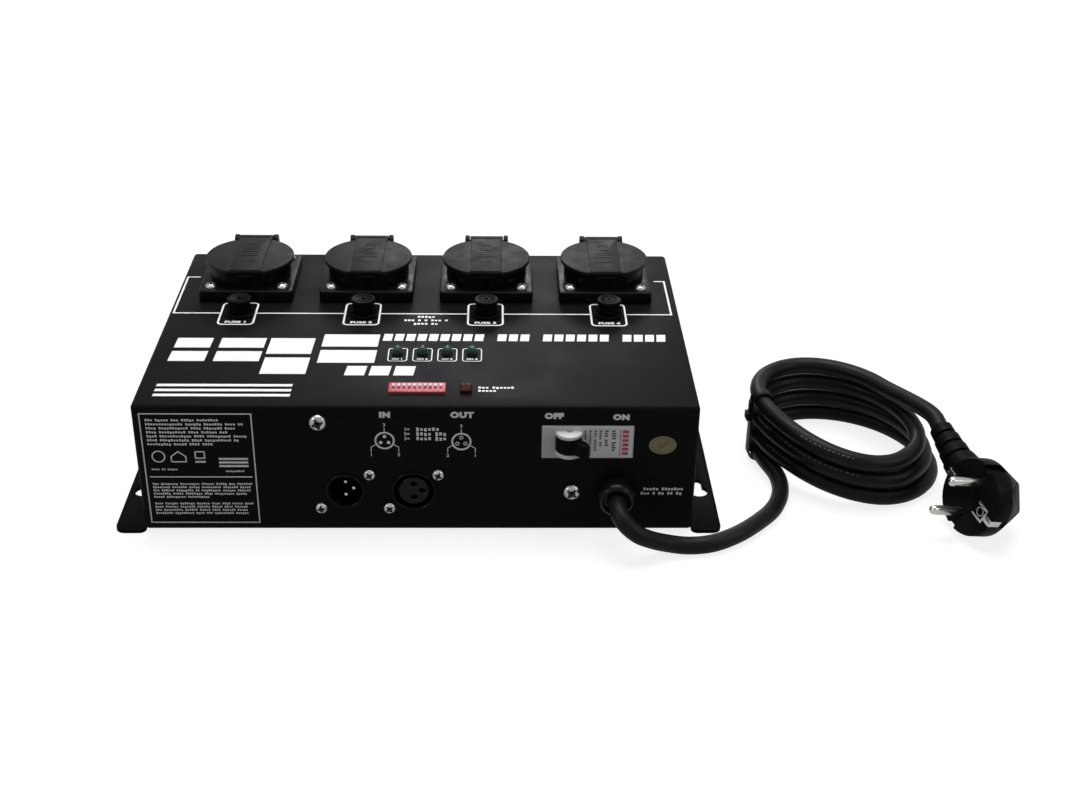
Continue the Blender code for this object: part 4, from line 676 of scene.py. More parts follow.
def seen_share(nodes, links):
    """1 for rays of the camera and refracted ones, and less for mirrored ones."""
    path = nodes.new("ShaderNodeLightPath")
    total = path.outputs["Is Camera Ray"]
    for other, share in (("Is Glossy Ray", MIRRORED_SHARE), ("Is Transmission Ray", 1.0)):
        part = ramp(nodes, links, path.outputs[other], 0.0, 1.0, 0.0, share)
        greater = nodes.new("ShaderNodeMath")
        greater.operation = "MAXIMUM"
        links.new(total, greater.inputs[0])
        links.new(part, greater.inputs[1])
        total = greater.outputs[0]
    return total


def make_floor():
    """A wide pale floor that keeps the object's shadow and looks white where it is lit."""
    shape = bmesh.new()
    bmesh.ops.create_grid(shape, x_segments=1, y_segments=1, size=4.0)
    mesh = mesh_of(shape, "floor")
    made, nodes, links = new_material("floor_white")
    shader = nodes["Principled BSDF"]
    shader.inputs["Base Color"].default_value = (FLOOR_GREY, FLOOR_GREY, FLOOR_GREY, 1.0)
    shader.inputs["Roughness"].default_value = 0.9
    shader.inputs["Specular IOR Level"].default_value = 0.0
    shader.inputs["Emission Color"].default_value = (1.0, 1.0, 1.0, 1.0)
    strength = ramp(nodes, links, seen_share(nodes, links), 0.0, 1.0, 0.0, FLOOR_LIFT)
    links.new(strength, shader.inputs["Emission Strength"])
    mesh.materials.append(made)
    floor = bpy.data.objects.new("floor", mesh)
    show(floor)


def make_light():
    """White surroundings, a wide soft lamp above, a narrower one behind, and two weak ones in front."""
    world = bpy.data.worlds.new("studio")
    world.use_nodes = True
    bpy.context.scene.world = world
    nodes, links = world.node_tree.nodes, world.node_tree.links
    sky = nodes["Background"]
    sky.inputs["Color"].default_value = (1.0, 1.0, 1.0, 1.0)
    strength = ramp(nodes, links, seen_share(nodes, links), 0.0, 1.0, WORLD_LIGHT, 1.0)
    links.new(strength, sky.inputs["Strength"])
    for name, place, target, wide, deep, power in LAMPS:
        data = bpy.data.lights.new(name, "AREA")
        data.shape = "RECTANGLE"
        data.size = wide
        data.size_y = deep
        data.energy = power
        lamp = bpy.data.objects.new(name, data)
        lamp.location = place
        lamp.rotation_euler = (Vector(target) - Vector(place)).to_track_quat("-Z", "Y").to_euler()
        show(lamp)
    bpy.context.scene.view_settings.view_transform = "Standard"


# Mains lead


def coil_height(degrees):
    """Height of the cord's middle this far round the coil."""
    loops = math.floor(degrees / 360.0)
    part = degrees - 360.0 * loops
    share = min(1.0, max(0.0, (part - COIL_CLIMB_START) / (COIL_CLIMB_END - COIL_CLIMB_START)))
    climb = loops + share * share * (3 - 2 * share)
    away = abs((degrees - TIE_ROUND + 180.0) % 360.0 - 180.0)
    lift = COIL_TIE_LIFT * 0.5 * (1 + math.cos(math.pi * min(1.0, away / COIL_LIFT_REACH)))
    return CORD_ROUND + climb * COIL_PITCH + lift


def coil_place(degrees):
    """Middle of the cord this far round the coil, and the way that it runs there."""
    angle = math.pi - math.radians(degrees)
    tilt = Matrix.Rotation(math.radians(COIL_TILT), 3, "Z")
    round_oval = Vector((COIL_HALF_LENGTH * math.cos(angle), COIL_HALF_WIDTH * math.sin(angle), 0.0))
    along_oval = Vector((COIL_HALF_LENGTH * math.sin(angle), -COIL_HALF_WIDTH * math.cos(angle), 0.0))
    wound = (degrees - COIL_START) / (COIL_END - COIL_START)
    from_tie = 0.5 * (1 - math.cos(math.radians(degrees - TIE_ROUND)))
    middle = tilt @ round_oval + Vector((*COIL_CENTRE, coil_height(degrees)))
    middle.x += COIL_DRIFT * (1 - 2 * wound) * from_tie
    return middle, (tilt @ along_oval).normalized()


def plug_matrix():
    """Places the plug: local +Z is the way of its pins and +Y that of its earth clip."""
    z = Vector(PLUG_PINS).normalized()
    y = Vector(PLUG_EARTH)
    y = (y - z * y.dot(z)).normalized()
    return Matrix.Translation(PLUG_FACE) @ Matrix((y.cross(z), y, z)).transposed().to_4x4()


def relief_way():
    """The way from the relief's thin end towards the coil."""
    return (Vector(RELIEF_END) - plug_matrix() @ Vector((0.0, -NECK_REACH, -PLUG_CORD))).normalized()


def cord_stations():
    """The cord from the gland's recess along the floor, round the coil and to the plug's relief."""
    start = GLAND + Vector((0.0, GLAND_RECESS - GLAND_RISE, 0.0))
    stations = [start, start - Vector((0.0, LEAD_END_RUN + GLAND_RECESS, 0.0))]
    stations += [Vector(place) for place in LEAD_ROUTE[1:-1]]
    first, way = coil_place(COIL_START)
    stations.append(first - way * 2 * CORD_ROUND)
    steps = round((COIL_END - COIL_START) / 360.0 * COIL_POINTS_PER_LOOP)
    stations += [coil_place(degrees)[0] for degrees in np.linspace(COIL_START, COIL_END, steps + 1)]
    way = relief_way()
    end = Vector(RELIEF_END) + way * GAP
    return stations + [end + way * 2 * CORD_ROUND, end]


def smooth_curve(stations, step):
    """Points a step apart on one smooth curve through the stations."""
    knots = [2 * stations[0] - stations[1]] + list(stations) + [2 * stations[-1] - stations[-2]]
    fine = []
    for a, b, c, d in zip(knots, knots[1:], knots[2:], knots[3:]):
        before, span, after = (math.sqrt((q - p).length) for p, q in ((a, b), (b, c), (c, d)))
        m1 = ((b - a) / before - (c - a) / (before + span) + (c - b) / span) * span
        m2 = ((c - b) / span - (d - b) / (span + after) + (d - c) / after) * span
        for t in np.linspace(0.0, 1.0, 16, endpoint=False):
            ends = b * (2 * t**3 - 3 * t**2 + 1) + c * (3 * t**2 - 2 * t**3)
            fine.append(ends + m1 * (t**3 - 2 * t**2 + t) + m2 * (t**3 - t**2))
    fine.append(knots[-2])
    along = np.concatenate([[0.0], np.cumsum([(q - p).length for p, q in zip(fine, fine[1:])])])
    wanted = np.linspace(0.0, along[-1], round(along[-1] / step) + 1)
    columns = [np.interp(wanted, along, [point[k] for point in fine]) for k in range(3)]
    return [Vector(point) for point in zip(*columns)]


def tube(name, points, radius, resolution=6):
    """The mesh of a round tube along the points, closed at its ends."""
    curve = bpy.data.curves.new(name, "CURVE")
    curve.dimensions = "3D"
    curve.bevel_depth = radius
    curve.bevel_resolution = resolution
    curve.use_fill_caps = True
    spline = curve.splines.new("POLY")
    spline.points.add(len(points) - 1)
    for point, place in zip(spline.points, points):
        point.co = (*place, 1.0)
    shape = form_of(curve, COARSE_WELD)
    bmesh.ops.recalc_face_normals(shape, faces=shape.faces)
    return shape


def make_cord():
    points = smooth_curve(cord_stations(), CORD_STEP)
    sheath = tube("mains_cord", points, CORD_ROUND)
    covered = ("mains_lead", "lead_coil")
    cord = piece("mains_cord", sheath, CORD_SHEATH, nodes=covered, slot="black_rubber", smooth=40)
    pieces = make_plug() + [make_tie(), print_cord()]


def print_cord():
    """Small worn marks in rows along the near side of three loops."""
    marks = bmesh.new()
    for begin, count, step in ((578.0, 16, 3.4), (640.0, 9, 1.9), (940.0, 12, 3.1), (262.0, 8, 2.7)):
        for k in range(count):
            middle, way = coil_place(begin + step * k)
            outward = Vector((way.y, -way.x, 0.0)).normalized()
            if outward.dot(middle - Vector((*COIL_CENTRE, 0.0))) < 0:
                outward = -outward
            facing = (outward * 0.75 + Vector((0.0, 0.0, 0.66))).normalized()
            turn = Matrix((way, facing.cross(way), facing)).transposed().to_4x4()
            long = 0.00045 + 0.00025 * (k * 7 % 3)
            spot = Matrix.Translation(middle + facing * (CORD_ROUND - 0.00002)) @ turn
            put(marks, block((-long, -0.0003, -0.0001), (long, 0.0003, 0.00006)), spot)
    return piece("cord_print", marks, INK_GREY)


def make_tie():
    """A flat band round the stack of loops, with its head on the outside."""
    half = TIE_WIDE / 2
    wide = 2 * (CORD_ROUND + 2 * GAP)
    high = TIE_LEVELS * COIL_PITCH + wide
    corner = CORD_ROUND + GAP
    outline = rounded_box(wide + 2 * TIE_THICK, high + 2 * TIE_THICK, corner + TIE_THICK, steps=10)
    hole = slab(rounded_box(wide, high, corner, steps=10), -half - OVER, half + OVER)
    band = carved(slab(outline, -half, half, 0.0002, 2), hole)
    middle, way = coil_place(TIE_ROUND)
    turn = Matrix.Rotation(math.atan2(-way.x, way.y), 4, "Z") @ Matrix.Rotation(math.pi / 2, 4, "X")
    place = Matrix.Translation(middle + Vector((0.0, 0.0, TIE_LEVELS * COIL_PITCH / 2))) @ turn
    outside = 1 if (turn.to_3x3() @ Vector((1, 0, 0))).dot(middle - Vector((*COIL_CENTRE, 0.0))) > 0 else -1
    shape = bmesh.new()
    put(shape, band)
    face = wide / 2 + TIE_THICK
    for sunk, rise, low, high, reach, soft in (
        (0.0003, 0.0024, 0.0040, 0.0086, 0.0026, 0.0005),
        (0.0002, 0.0009, 0.0080, 0.0150, 0.0018, 0.0003),
    ):
        near, far = sorted((outside * (face - sunk), outside * (face + rise)))
        put(shape, block((near, low, -reach), (far, high, reach), soft))
    return piece("cord_tie", moved(shape, place), TIE_NYLON, nodes=("coil_tie",), slot="black_plastic")


def moved(shape, place):
    bmesh.ops.transform(shape, matrix=place, verts=shape.verts)
    return shape


def make_plug():
    """Angled plug with grip faces, guide grooves, earth clips, ribbed relief and two pins."""
    place = plug_matrix()
    profile = [
        (0.0, -0.0002), (PLUG_ROUND - 0.0011, 0.0), (PLUG_ROUND - 0.0003, -0.0004), (PLUG_ROUND, -0.0012),
        (PLUG_ROUND, -PLUG_RIM), (PLUG_ROUND - 0.0004, -PLUG_RIM - 0.0008),
        (PLUG_BACK, -PLUG_DEEP + 0.0012), (PLUG_BACK - 0.0012, -PLUG_DEEP), (0.0, -PLUG_DEEP),
    ]
    body = spun(profile, 72)
    cutters = []
    slope = math.atan2(PLUG_FLAT_START - PLUG_FLAT_END, PLUG_DEEP - PLUG_RIM)
    tilt = Matrix.Rotation(slope, 4, "Y")
    for k in range(4):
        flat = turned(45 + 90 * k) @ place_at(PLUG_FLAT_START, 0.0, -PLUG_RIM) @ tilt
        cutters.append(moved(block((0.0, -0.05, -0.05), (0.05, 0.05, 0.05)), flat))
    for side in (-1, 1):
        x = side * PRONG_SPREAD
        cutters.append(rod((x, 0.0, -PRONG_SEAT - GAP), (x, 0.0, OVER), PRONG_ROUND + GAP, 24))
        inner, outer = sorted((side * (PLUG_ROUND - 0.0024), side * (PLUG_ROUND + OVER)))
        cutters.append(block((inner, -0.0026, -0.0095), (outer, 0.0026, OVER)))
        groove = side * PLUG_ROUND
        cutters.append(block((-0.0021, groove - 0.0010, -0.0110), (0.0021, groove + 0.0010, OVER)))
    cutters.append(rod((0.0, EARTH_HOLE, -0.0080), (0.0, EARTH_HOLE, OVER), 0.0024, 24))
    body = carved(body, *cutters)
    neck = (0.0, -NECK_REACH, -PLUG_CORD)
    throat = rod((0.0, -0.004, -PLUG_CORD), neck, NECK_ROOT, 48, NECK_THICK)
    put(body, throat)
    inside = place.inverted() @ Vector(RELIEF_END)
    way = (inside - Vector(neck)).normalized()
    reach = (inside - Vector(neck)).length
    turn = Vector((0, 0, 1)).rotation_difference(way).to_matrix().to_4x4()
    put(body, relief_form(reach), Matrix.Translation(neck) @ turn)
    made = [piece("plug_shell", moved(body, place), PLUG_RUBBER, nodes=("plug_body",), slot="black_rubber")]
    prong = [(0.0, PRONG_LONG)]
    tip = PRONG_ROUND
    for angle in np.linspace(0.15, 1.0, 6) * math.pi / 2:
        prong.append((tip * math.sin(angle), PRONG_LONG - tip + tip * math.cos(angle)))
    prong += [(PRONG_ROUND, -PRONG_SEAT), (0.0, -PRONG_SEAT)]
    for number, side in ((1, -1), (2, 1)):
        pin = moved(spun(prong, 32), place @ place_at(side * PRONG_SPREAD, 0.0, 0.0))
        node = f"plug_pin_{number}"
        made.append(piece(f"plug_prong_{number}", pin, NICKEL_PLATE, nodes=(node,), slot="nickel"))
    return made + [piece("plug_earth_clips", moved(earth_clips(), place), NICKEL_PLATE)]


def earth_clips():
    """The two strips in the plug's grooves, the bracket on its face and the ring of its earth hole."""
    clips = bmesh.new()
    strips = []
    for side in (-1, 1):
        skin = sorted((side * (PLUG_ROUND - 0.0008), side * (PLUG_ROUND + 0.0001)))
        strips.append((0.0017, *skin, -0.0066, 0.0004))
        strips.append((0.0017, *sorted((side * 0.0142, side * PLUG_ROUND)), -0.0004, 0.0004))
    strips.append((0.0039, 0.0138, 0.0148, -0.0004, 0.0006))
    for half, near, far, low, high in strips:
        put(clips, block((-half, near, low), (half, far, high), 0.0002))
    for x in (-0.0034, 0.0034):
        put(clips, block((x - 0.0005, 0.0068, -0.0004), (x + 0.0005, 0.0146, 0.0006), 0.0002))
    ring = [(0.0019, 0.0001), (0.0024, 0.0001), (0.0024, -0.0050), (0.0019, -0.0050), (0.0019, 0.0001)]
    put(clips, spun(ring, 32), place_at(0.0, EARTH_HOLE, 0.0))
    return clips


def relief_form(reach):
    """Strain relief along +Z: a tapering sleeve with three steps, thin end outwards."""
    profile = [(0.0, -0.004), (NECK_THICK - 0.0001, -0.004), (NECK_THICK - 0.0001, 0.0008)]
    rings = 3
    for k in range(rings):
        for share, swell in ((0.02, 0.0002), (0.06, -0.0012), (0.24, -0.0012), (0.30, 0.0), (0.94, 0.0004)):
            along = (k + share) / rings
            thick = (NECK_THICK - 0.0006) * (1 - along) + RELIEF_THIN * along
            profile.append((thick + swell, 0.0008 + along * (reach - 0.0014)))
    profile += [(RELIEF_THIN, reach - 0.0005), (RELIEF_THIN - 0.0006, reach), (0.0, reach)]
    return spun(profile, 40)


# Case and screws


def make_case():
    cover = merged_copy("cover")
    piece("case_cover", cover, POWDER_COAT, nodes=("cover",), slot="black_powder_coat", smooth=38)
    base = merged_copy("base_plate")
    soften(base, 0.00025, 2, 60.0, lambda p: abs(p.x) > EAR_START)
    # The base plate takes the darker copy of the powder coat: painted shade.
    piece("case_base", base, SHADED_POWDER_COAT, nodes=("base_plate",), slot="black_powder_coat", smooth=38)


def screw_mesh(radius, rise, shank, depth):
    """A pan-head screw with a crossed recess, its head's underside at z = 0, and a near-black patch of
    painted shade for the bottom of the recess.
    """
    profile = [
        (0.0, rise), (radius * 0.42, rise * 0.97), (radius * 0.68, rise * 0.84),
        (radius * 0.88, rise * 0.60), (radius * 0.98, rise * 0.30), (radius, rise * 0.08),
        (radius * 0.97, 0.0), (shank, 0.0), (shank, -depth), (0.0, -depth),
    ]
    arm, half = radius * 0.66, radius * 0.16
    deep = rise * 0.15
    head = carved(
        spun(profile, 32), block((-arm, -half, deep), (arm, half, rise + OVER)),
        block((-half, -arm, deep), (half, arm, rise + OVER)),
        rod((0, 0, deep), (0, 0, rise + OVER), radius * 0.30, 16, radius * 0.52),
    )
    # Painted shade: a near-black patch filling the bottom of the crossed recess, so that the recess reads
    # dark.
    shade_patch = block((-arm, -half, deep), (arm, half, deep + rise * 0.30))
    put(shade_patch, block((-half, -arm, deep), (half, arm, deep + rise * 0.30)))
    return mesh_of(head, "screw"), mesh_of(shade_patch, "screw_recess")


def make_screws():
    small, small_shade_patch = screw_mesh(0.0030, 0.0021, 0.0012, 0.0050)
    large, large_shade_patch = screw_mesh(0.00425, 0.0026, 0.0019, 0.0085)
    shade_patch = bmesh.new()
    turns = (17, 52, 74, 33, 8, 61, 40, 25, 12, 70, 48, 3, 66, 29, 57, 81)
    for i, x in zip(CHANNELS, SOCKET_X):
        shape = bmesh.new()
        for k, (dx, dy) in enumerate(((-1, -1), (1, -1), (-1, 1), (1, 1))):
            spot = place_at(x + dx * SCREW_SPREAD, SOCKET_Y + dy * SCREW_SPREAD, TOP + FLANGE_HIGH)
            spot = spot @ turned(turns[4 * (i - 1) + k])
            stamp(shape, small, spot)
            stamp(shade_patch, small_shade_patch, spot)
        piece(f"socket_screws_{i}", shape, ZINC_PLATE)
    shape = bmesh.new()
    for k, (centre, side) in enumerate(((DATA_IN, 1), (DATA_IN, -1), (DATA_OUT, 1), (DATA_OUT, -1))):
        spot = Matrix.Translation(centre + Vector((side * 0.0120, 0.0, side * 0.0095))) @ TO_FRONT
        spot = spot @ turned(turns[k + 3])
        stamp(shape, small, spot)
        stamp(shade_patch, small_shade_patch, spot)
    piece("data_screws", shape, ZINC_PLATE)
    for number, centre, turn in ((1, UPPER_SCREW, 20), (2, LOWER_SCREW, 50)):
        shape = bmesh.new()
        spot = Matrix.Translation(centre - Vector((0, GAP, 0))) @ TO_FRONT @ turned(turn)
        stamp(shape, large, spot)
        stamp(shade_patch, large_shade_patch, spot)
        piece(f"case_screw_{number}", shape, ZINC_PLATE, nodes=(f"panel_screw_{number}",), slot="zinc")
    # All the recess patches as one piece, in the painted shade finish.
    piece("screw_recess_shade_patches", shade_patch, PAINTED_RECESS_SHADE)


# Sockets


def make_sockets():
    profile = [
        (0.0, WELL_FLOOR), (WELL, WELL_FLOOR), (WELL, RIM - 0.0004), (WELL + 0.0004, RIM),
        (COLLAR - 0.0005, RIM), (COLLAR, RIM - 0.0005), (COLLAR, 0.0033), (0.0208, 0.0033),
        (0.0208, -SOCKET_DEEP), (0.0, -SOCKET_DEEP),
    ]
    cutters = []
    for side in (-1, 1):
        x = side * CONTACT_SPREAD
        cutters.append(rod((x, 0, WELL_FLOOR - 0.020), (x, 0, WELL_FLOOR + OVER), CONTACT_HOLE, 24))
        low, high = (x, 0, WELL_FLOOR - 0.0008), (x, 0, WELL_FLOOR + 0.0002)
        cutters.append(rod(low, high, CONTACT_HOLE, 24, CONTACT_HOLE + 0.0010))
    bed_x, bed_y = EARTH_WIDTH / 2 + GAP, 0.0191
    cutters.append(block((-bed_x, -bed_y, WELL_FLOOR - EARTH_BED), (bed_x, bed_y, WELL_FLOOR + OVER)))
    shape = carved(spun(profile, 72), *cutters)
    flange = slab(rounded_box(FLANGE, FLANGE, 0.0020), GAP, FLANGE_HIGH, 0.0007, 3, lambda p: p.z > 0.003)
    put(shape, carved(flange, rod((0, 0, -OVER), (0, 0, 0.010), COLLAR - 0.0008, 72)))
    for side in (-1, 1):
        inner = WELL - 0.0015
        rib = block((inner, -0.0023, WELL_FLOOR - 0.0002), (WELL + 0.0010, 0.0023, RIM - 0.0020), 0.0004)
        put(shape, rib, Matrix.Diagonal((side, 1, 1, 1)))
    for side in (-1, 1):
        start = side * (BARREL_LONG / 2 + GAP)
        low = min(start, start + side * CHEEK_THICK)
        cheek = slab(cheek_outline(), 0.0, CHEEK_THICK, 0.0004, 2)
        bore = rod((HINGE_BACK, HINGE_HIGH, -OVER), (HINGE_BACK, HINGE_HIGH, CHEEK_THICK + OVER), 0.0018, 24)
        put(shape, carved(cheek, bore), Matrix.Translation((low, 0.0, 0.0)) @ TO_SIDE)
    bmesh.ops.recalc_face_normals(shape, faces=shape.faces)
    places = [place_at(x, SOCKET_Y, TOP) for x in SOCKET_X]
    looks = {"slot": "black_plastic", "smooth": 35}
    row = ("socket_housing", mesh_of(shape), SOCKET_PLASTIC, "enclosure", "socket_body_{}", looks)
    place_copies(places, row)


def cheek_outline():
    """The hinge's cheek seen from the side: a round head on the axis and a foot on the flange."""
    y, z = HINGE_BACK, HINGE_HIGH
    head = arc(y, z, CHEEK_ROUND, 0.0, 180.0, 16)
    foot = FLANGE_HIGH - 0.0020
    return head + [
        (y - CHEEK_ROUND, z - 0.0030), (y - CHEEK_ROUND - 0.0030, foot), (FLANGE / 2 - 0.0010, foot),
        (y + CHEEK_ROUND, z - 0.0020),
    ]


def lid_marks():
    """Low plain ring, drop and bars moulded on the lid's band, about the lid's middle."""
    marks = Print(place_at(0.0, 0.0, 0.0))
    marks.ring(0.0, 0.0106, 0.0041, 0.0008)
    marks.disc(0.0, 0.0098, 0.0014, 20)
    marks.bar(-0.0005, 0.0110, 0.0005, 0.0130)
    for y, half in ((0.0036, 0.0048), (0.0008, 0.0040), (-0.0020, 0.0048), (-0.0086, 0.0030)):
        marks.bar(-half, y, half, y + 0.0014)
    return moved(marks.shape, Matrix.Diagonal((1.0, 1.0, LID_MARK_LIFT, 1.0)))


def make_lids():
    """Round lid, straight in front, with raised band, hinge barrel, groove and seal. Origin on the hinge."""
    middle = -HINGE_BACK
    start = -math.degrees(math.asin(LID_CUT / LID_ROUND))
    top = LID_LOW + LID_THICK
    outline = arc(0.0, middle, LID_ROUND, start, 180.0 - start, 96)
    disc = slab(outline, LID_LOW, top, 0.0005, 3)
    front = middle - LID_CUT
    half = BAND_WIDE / 2
    band = block((-half, front + 0.0004, LID_LOW + 0.0010), (half, -0.0012, top + BAND_RISE), 0.0003, 3)
    long = BARREL_LONG / 2
    tongue = block((-long, -0.0060, LID_LOW + 0.0004), (long, 0.0002, top + BAND_RISE - 0.0001), 0.0003, 3)
    barrel = rod((-long, 0, 0), (long, 0, 0), BARREL, 32)
    soften(barrel, 0.0003, 2, 60.0)
    shape = combined(disc, "UNION", band, tongue, barrel)
    groove = block((-0.00825, -0.0040, top - 0.0007), (0.00825, -0.0028, top + 0.0020), 0.0002)
    shape = carved(shape, groove)
    put(shape, rod((-long - CHEEK_THICK, 0, 0), (long + CHEEK_THICK, 0, 0), 0.0015, 24))
    seal = [(0.0166, 0.0007), (0.0182, 0.0007), (0.0182, -0.0006), (0.0178, -0.0010), (0.0170, -0.0010)]
    seal += [(0.0166, -0.0006), (0.0166, 0.0007)]
    put(shape, spun(seal, 72), place_at(0.0, middle, LID_LOW))
    for x in (-0.0100, 0.0100):
        low = (x - 0.0009, front - 0.0001, LID_LOW - 0.0007)
        put(shape, block(low, (x + 0.0009, front + 0.0014, LID_LOW + 0.0010), 0.0002))
    put(shape, lid_marks(), place_at(0.0, middle, top + BAND_RISE))
    bmesh.ops.recalc_face_normals(shape, faces=shape.faces)
    places = [place_at(x, SOCKET_Y + HINGE_BACK, TOP + HINGE_HIGH) for x in SOCKET_X]
    looks = {"slot": "black_plastic", "smooth": 35}
    place_copies(places, ("socket_flap", mesh_of(shape), LID_PLASTIC, "lid_{}", "socket_lid_{}", looks))
    for i in CHANNELS:
        dress(f"socket_earth_{i}", SPRING_BRASS)


# Fuses


def make_fuses():
    holder = [
        (0.0, LINK_LOW - GAP), (LINK_BORE, LINK_LOW - GAP), (LINK_BORE, CAP_LOW - NECK_DEEP - GAP),
        (NECK_ROUND + GAP, CAP_LOW - NECK_DEEP - GAP), (NECK_ROUND + GAP, BEZEL_HIGH - 0.0003),
        (NECK_ROUND + 2 * GAP, BEZEL_HIGH), (BEZEL - 0.0006, BEZEL_HIGH), (BEZEL, BEZEL_HIGH - 0.0006),
        (BEZEL, GAP), (HOLDER, GAP), (HOLDER, -HOLDER_DEEP), (0.0, -HOLDER_DEEP),
    ]
    barrel = spun(holder, 48)
    tag = block((-0.0020, -0.0004, -HOLDER_DEEP - 0.0060), (0.0020, 0.0004, -HOLDER_DEEP + 0.0005), 0.0001)
    put(barrel, tag)
    turns = np.radians(np.arange(0, 360, 2.5))
    waist = [FLUTE_ROUND + FLUTE_DEEP * math.cos(FLUTES * a) for a in turns]
    outline = [(r * math.cos(a), r * math.sin(a)) for r, a in zip(waist, turns)]
    knob = slab(outline, CAP_LOW, CAP_TOP - 0.0012)
    crown = [
        (0.0, CAP_TOP - 0.00025), (0.0036, CAP_TOP - 0.00025), (0.0040, CAP_TOP),
        (CAP_ROUND - 0.0006, CAP_TOP), (CAP_ROUND - 0.0001, CAP_TOP - 0.0005),
        (CAP_ROUND - 0.0001, CAP_TOP - 0.0018), (CAP_ROUND - 0.0006, CAP_TOP - 0.0023),
        (0.0, CAP_TOP - 0.0023),
    ]
    crown = carved(spun(crown, 48), rod((0, 0, CAP_TOP - 0.0016), (0, 0, CAP_TOP + OVER), 0.0011, 24))
    neck = [
        (LINK_BORE, LINK_TOP + GAP), (0.0, LINK_TOP + GAP), (0.0, CAP_LOW + 0.0010),
        (NECK_ROUND, CAP_LOW + 0.0010), (NECK_ROUND, CAP_LOW - NECK_DEEP + 0.0004),
        (NECK_ROUND - 0.0004, CAP_LOW - NECK_DEEP), (LINK_BORE, CAP_LOW - NECK_DEEP),
        (LINK_BORE, LINK_TOP + GAP),
    ]
    put(knob, crown)
    put(knob, spun(neck, 48))
    for side in (-1, 1):
        low = (side * 0.0044 - 0.0005, -0.0012, CAP_LOW - 0.0080)
        put(knob, block(low, (side * 0.0044 + 0.0002, 0.0012, CAP_LOW - 0.0060), 0.0001))
    upper, lower = LINK_TOP - GLASS_INSET, LINK_LOW + GLASS_INSET
    glass = spun([(0.0, upper), (GLASS_ROUND, upper), (GLASS_ROUND, lower), (0.0, lower)], 32)
    ferrules = bmesh.new()
    for low, high in ((LINK_LOW, LINK_LOW + FERRULE), (LINK_TOP - FERRULE, LINK_TOP)):
        sides = [(0.0024, high), (0.0026, high - 0.0002), (0.0026, low + 0.0002), (0.0024, low)]
        put(ferrules, spun([(0.0, high)] + sides + [(0.0, low)], 32))
    looks = {"slot": "black_plastic", "smooth": 38}
    place_copies(
        [place_at(x, FUSE_Y, TOP) for x in FUSE_X],
        ("fuse_barrel", mesh_of(barrel), KNOB_PLASTIC, "enclosure", "fuse_holder_{}", looks),
        ("fuse_knob", mesh_of(knob), KNOB_PLASTIC, "fuse_top_{}", "fuse_cap_{}", looks),
        ("fuse_tube", mesh_of(glass), FUSE_GLASS, "fuse_{}", "fuse_link_{}", {"slot": "fuse_glass"}),
        ("fuse_ferrules", mesh_of(ferrules), NICKEL_PLATE, "fuse_{}", None, {}),
    )


# Switches and lamps


def make_switches():
    low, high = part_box("dip_body")
    middle = (low + high) / 2
    half_x, half_y = SLOT_WIDE / 2, SLOT_LONG / 2
    centres = [middle.x + (k - (SWITCH_COUNT - 1) / 2) * SWITCH_PITCH for k in range(SWITCH_COUNT)]
    cutters = []
    for x in centres:
        corner = (x - half_x, middle.y - half_y, high.z - SLOT_DEEP)
        cutters.append(block(corner, (x + half_x, middle.y + half_y, high.z + OVER)))
    body = carved(block(low, high, 0.00015), *cutters)
    piece("switch_block", body, SWITCH_RED, nodes=("dip_body",), slot="red_plastic")
    for k in range(1, SWITCH_COUNT + 1):
        node = f"dip_slider_{k}"
        near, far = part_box(node)
        y = (near.y + far.y) / 2
        slide = block(near, far, 0.0001)
        ridge = block((near.x, y - 0.0002, far.z - 0.0001), (far.x, y + 0.0002, far.z + 0.00008), 0.00005)
        put(slide, ridge)
        piece(f"switch_slide_{k}", slide, SWITCH_WHITE, f"slider_{k}", (node,), slot="white_plastic")
    print_switch_numbers(centres, middle.y, high.z)


def make_lamps():
    profile = [(0.0, LENS_SIDE + LENS_ROUND)] + dome(LENS_ROUND, LENS_ROUND, LENS_SIDE, 10)[1:]
    profile += [(LENS_ROUND, LENS_FOOT_TOP), (LENS_FOOT, LENS_FOOT_TOP)]
    profile += [(LENS_FOOT, LENS_LOW), (0.0, LENS_LOW)]
    collar = [(0.0027, 0.0), (0.0030, 0.0), (0.0030, 0.0002), (0.0028, 0.0003), (0.0027, 0.0003)]
    collar.append(collar[0])
    looks = {"slot": "green_lens", "smooth": 40}
    place_copies(
        [place_at(x, LAMP_Y, TOP) for x in LAMP_X],
        ("channel_lamp", mesh_of(spun(profile, 40)), LAMP_GREEN, "enclosure", "channel_led_{}", looks),
        ("lamp_collar", mesh_of(spun(collar, 40)), KNOB_PLASTIC, "enclosure", None, {}),
    )
    low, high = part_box("status_led")
    piece("status_window", block(low, high, 0.0003, 3), WINDOW_RED, nodes=("status_led",), slot="red_plastic")
    shape = bmesh.new()
    for side in (-1, 1):
        bead = dome(BEAD_ROUND, 0.0004, 0.0, 6) + [(BEAD_ROUND, -0.0006), (0.0, -0.0006)]
        put(shape, spun(bead, 24), place_at((low.x + high.x) / 2 + side * 0.0012, high.y - 0.0018, high.z))
    piece("status_beads", shape, LAMP_CLEAR)


# Data plugs


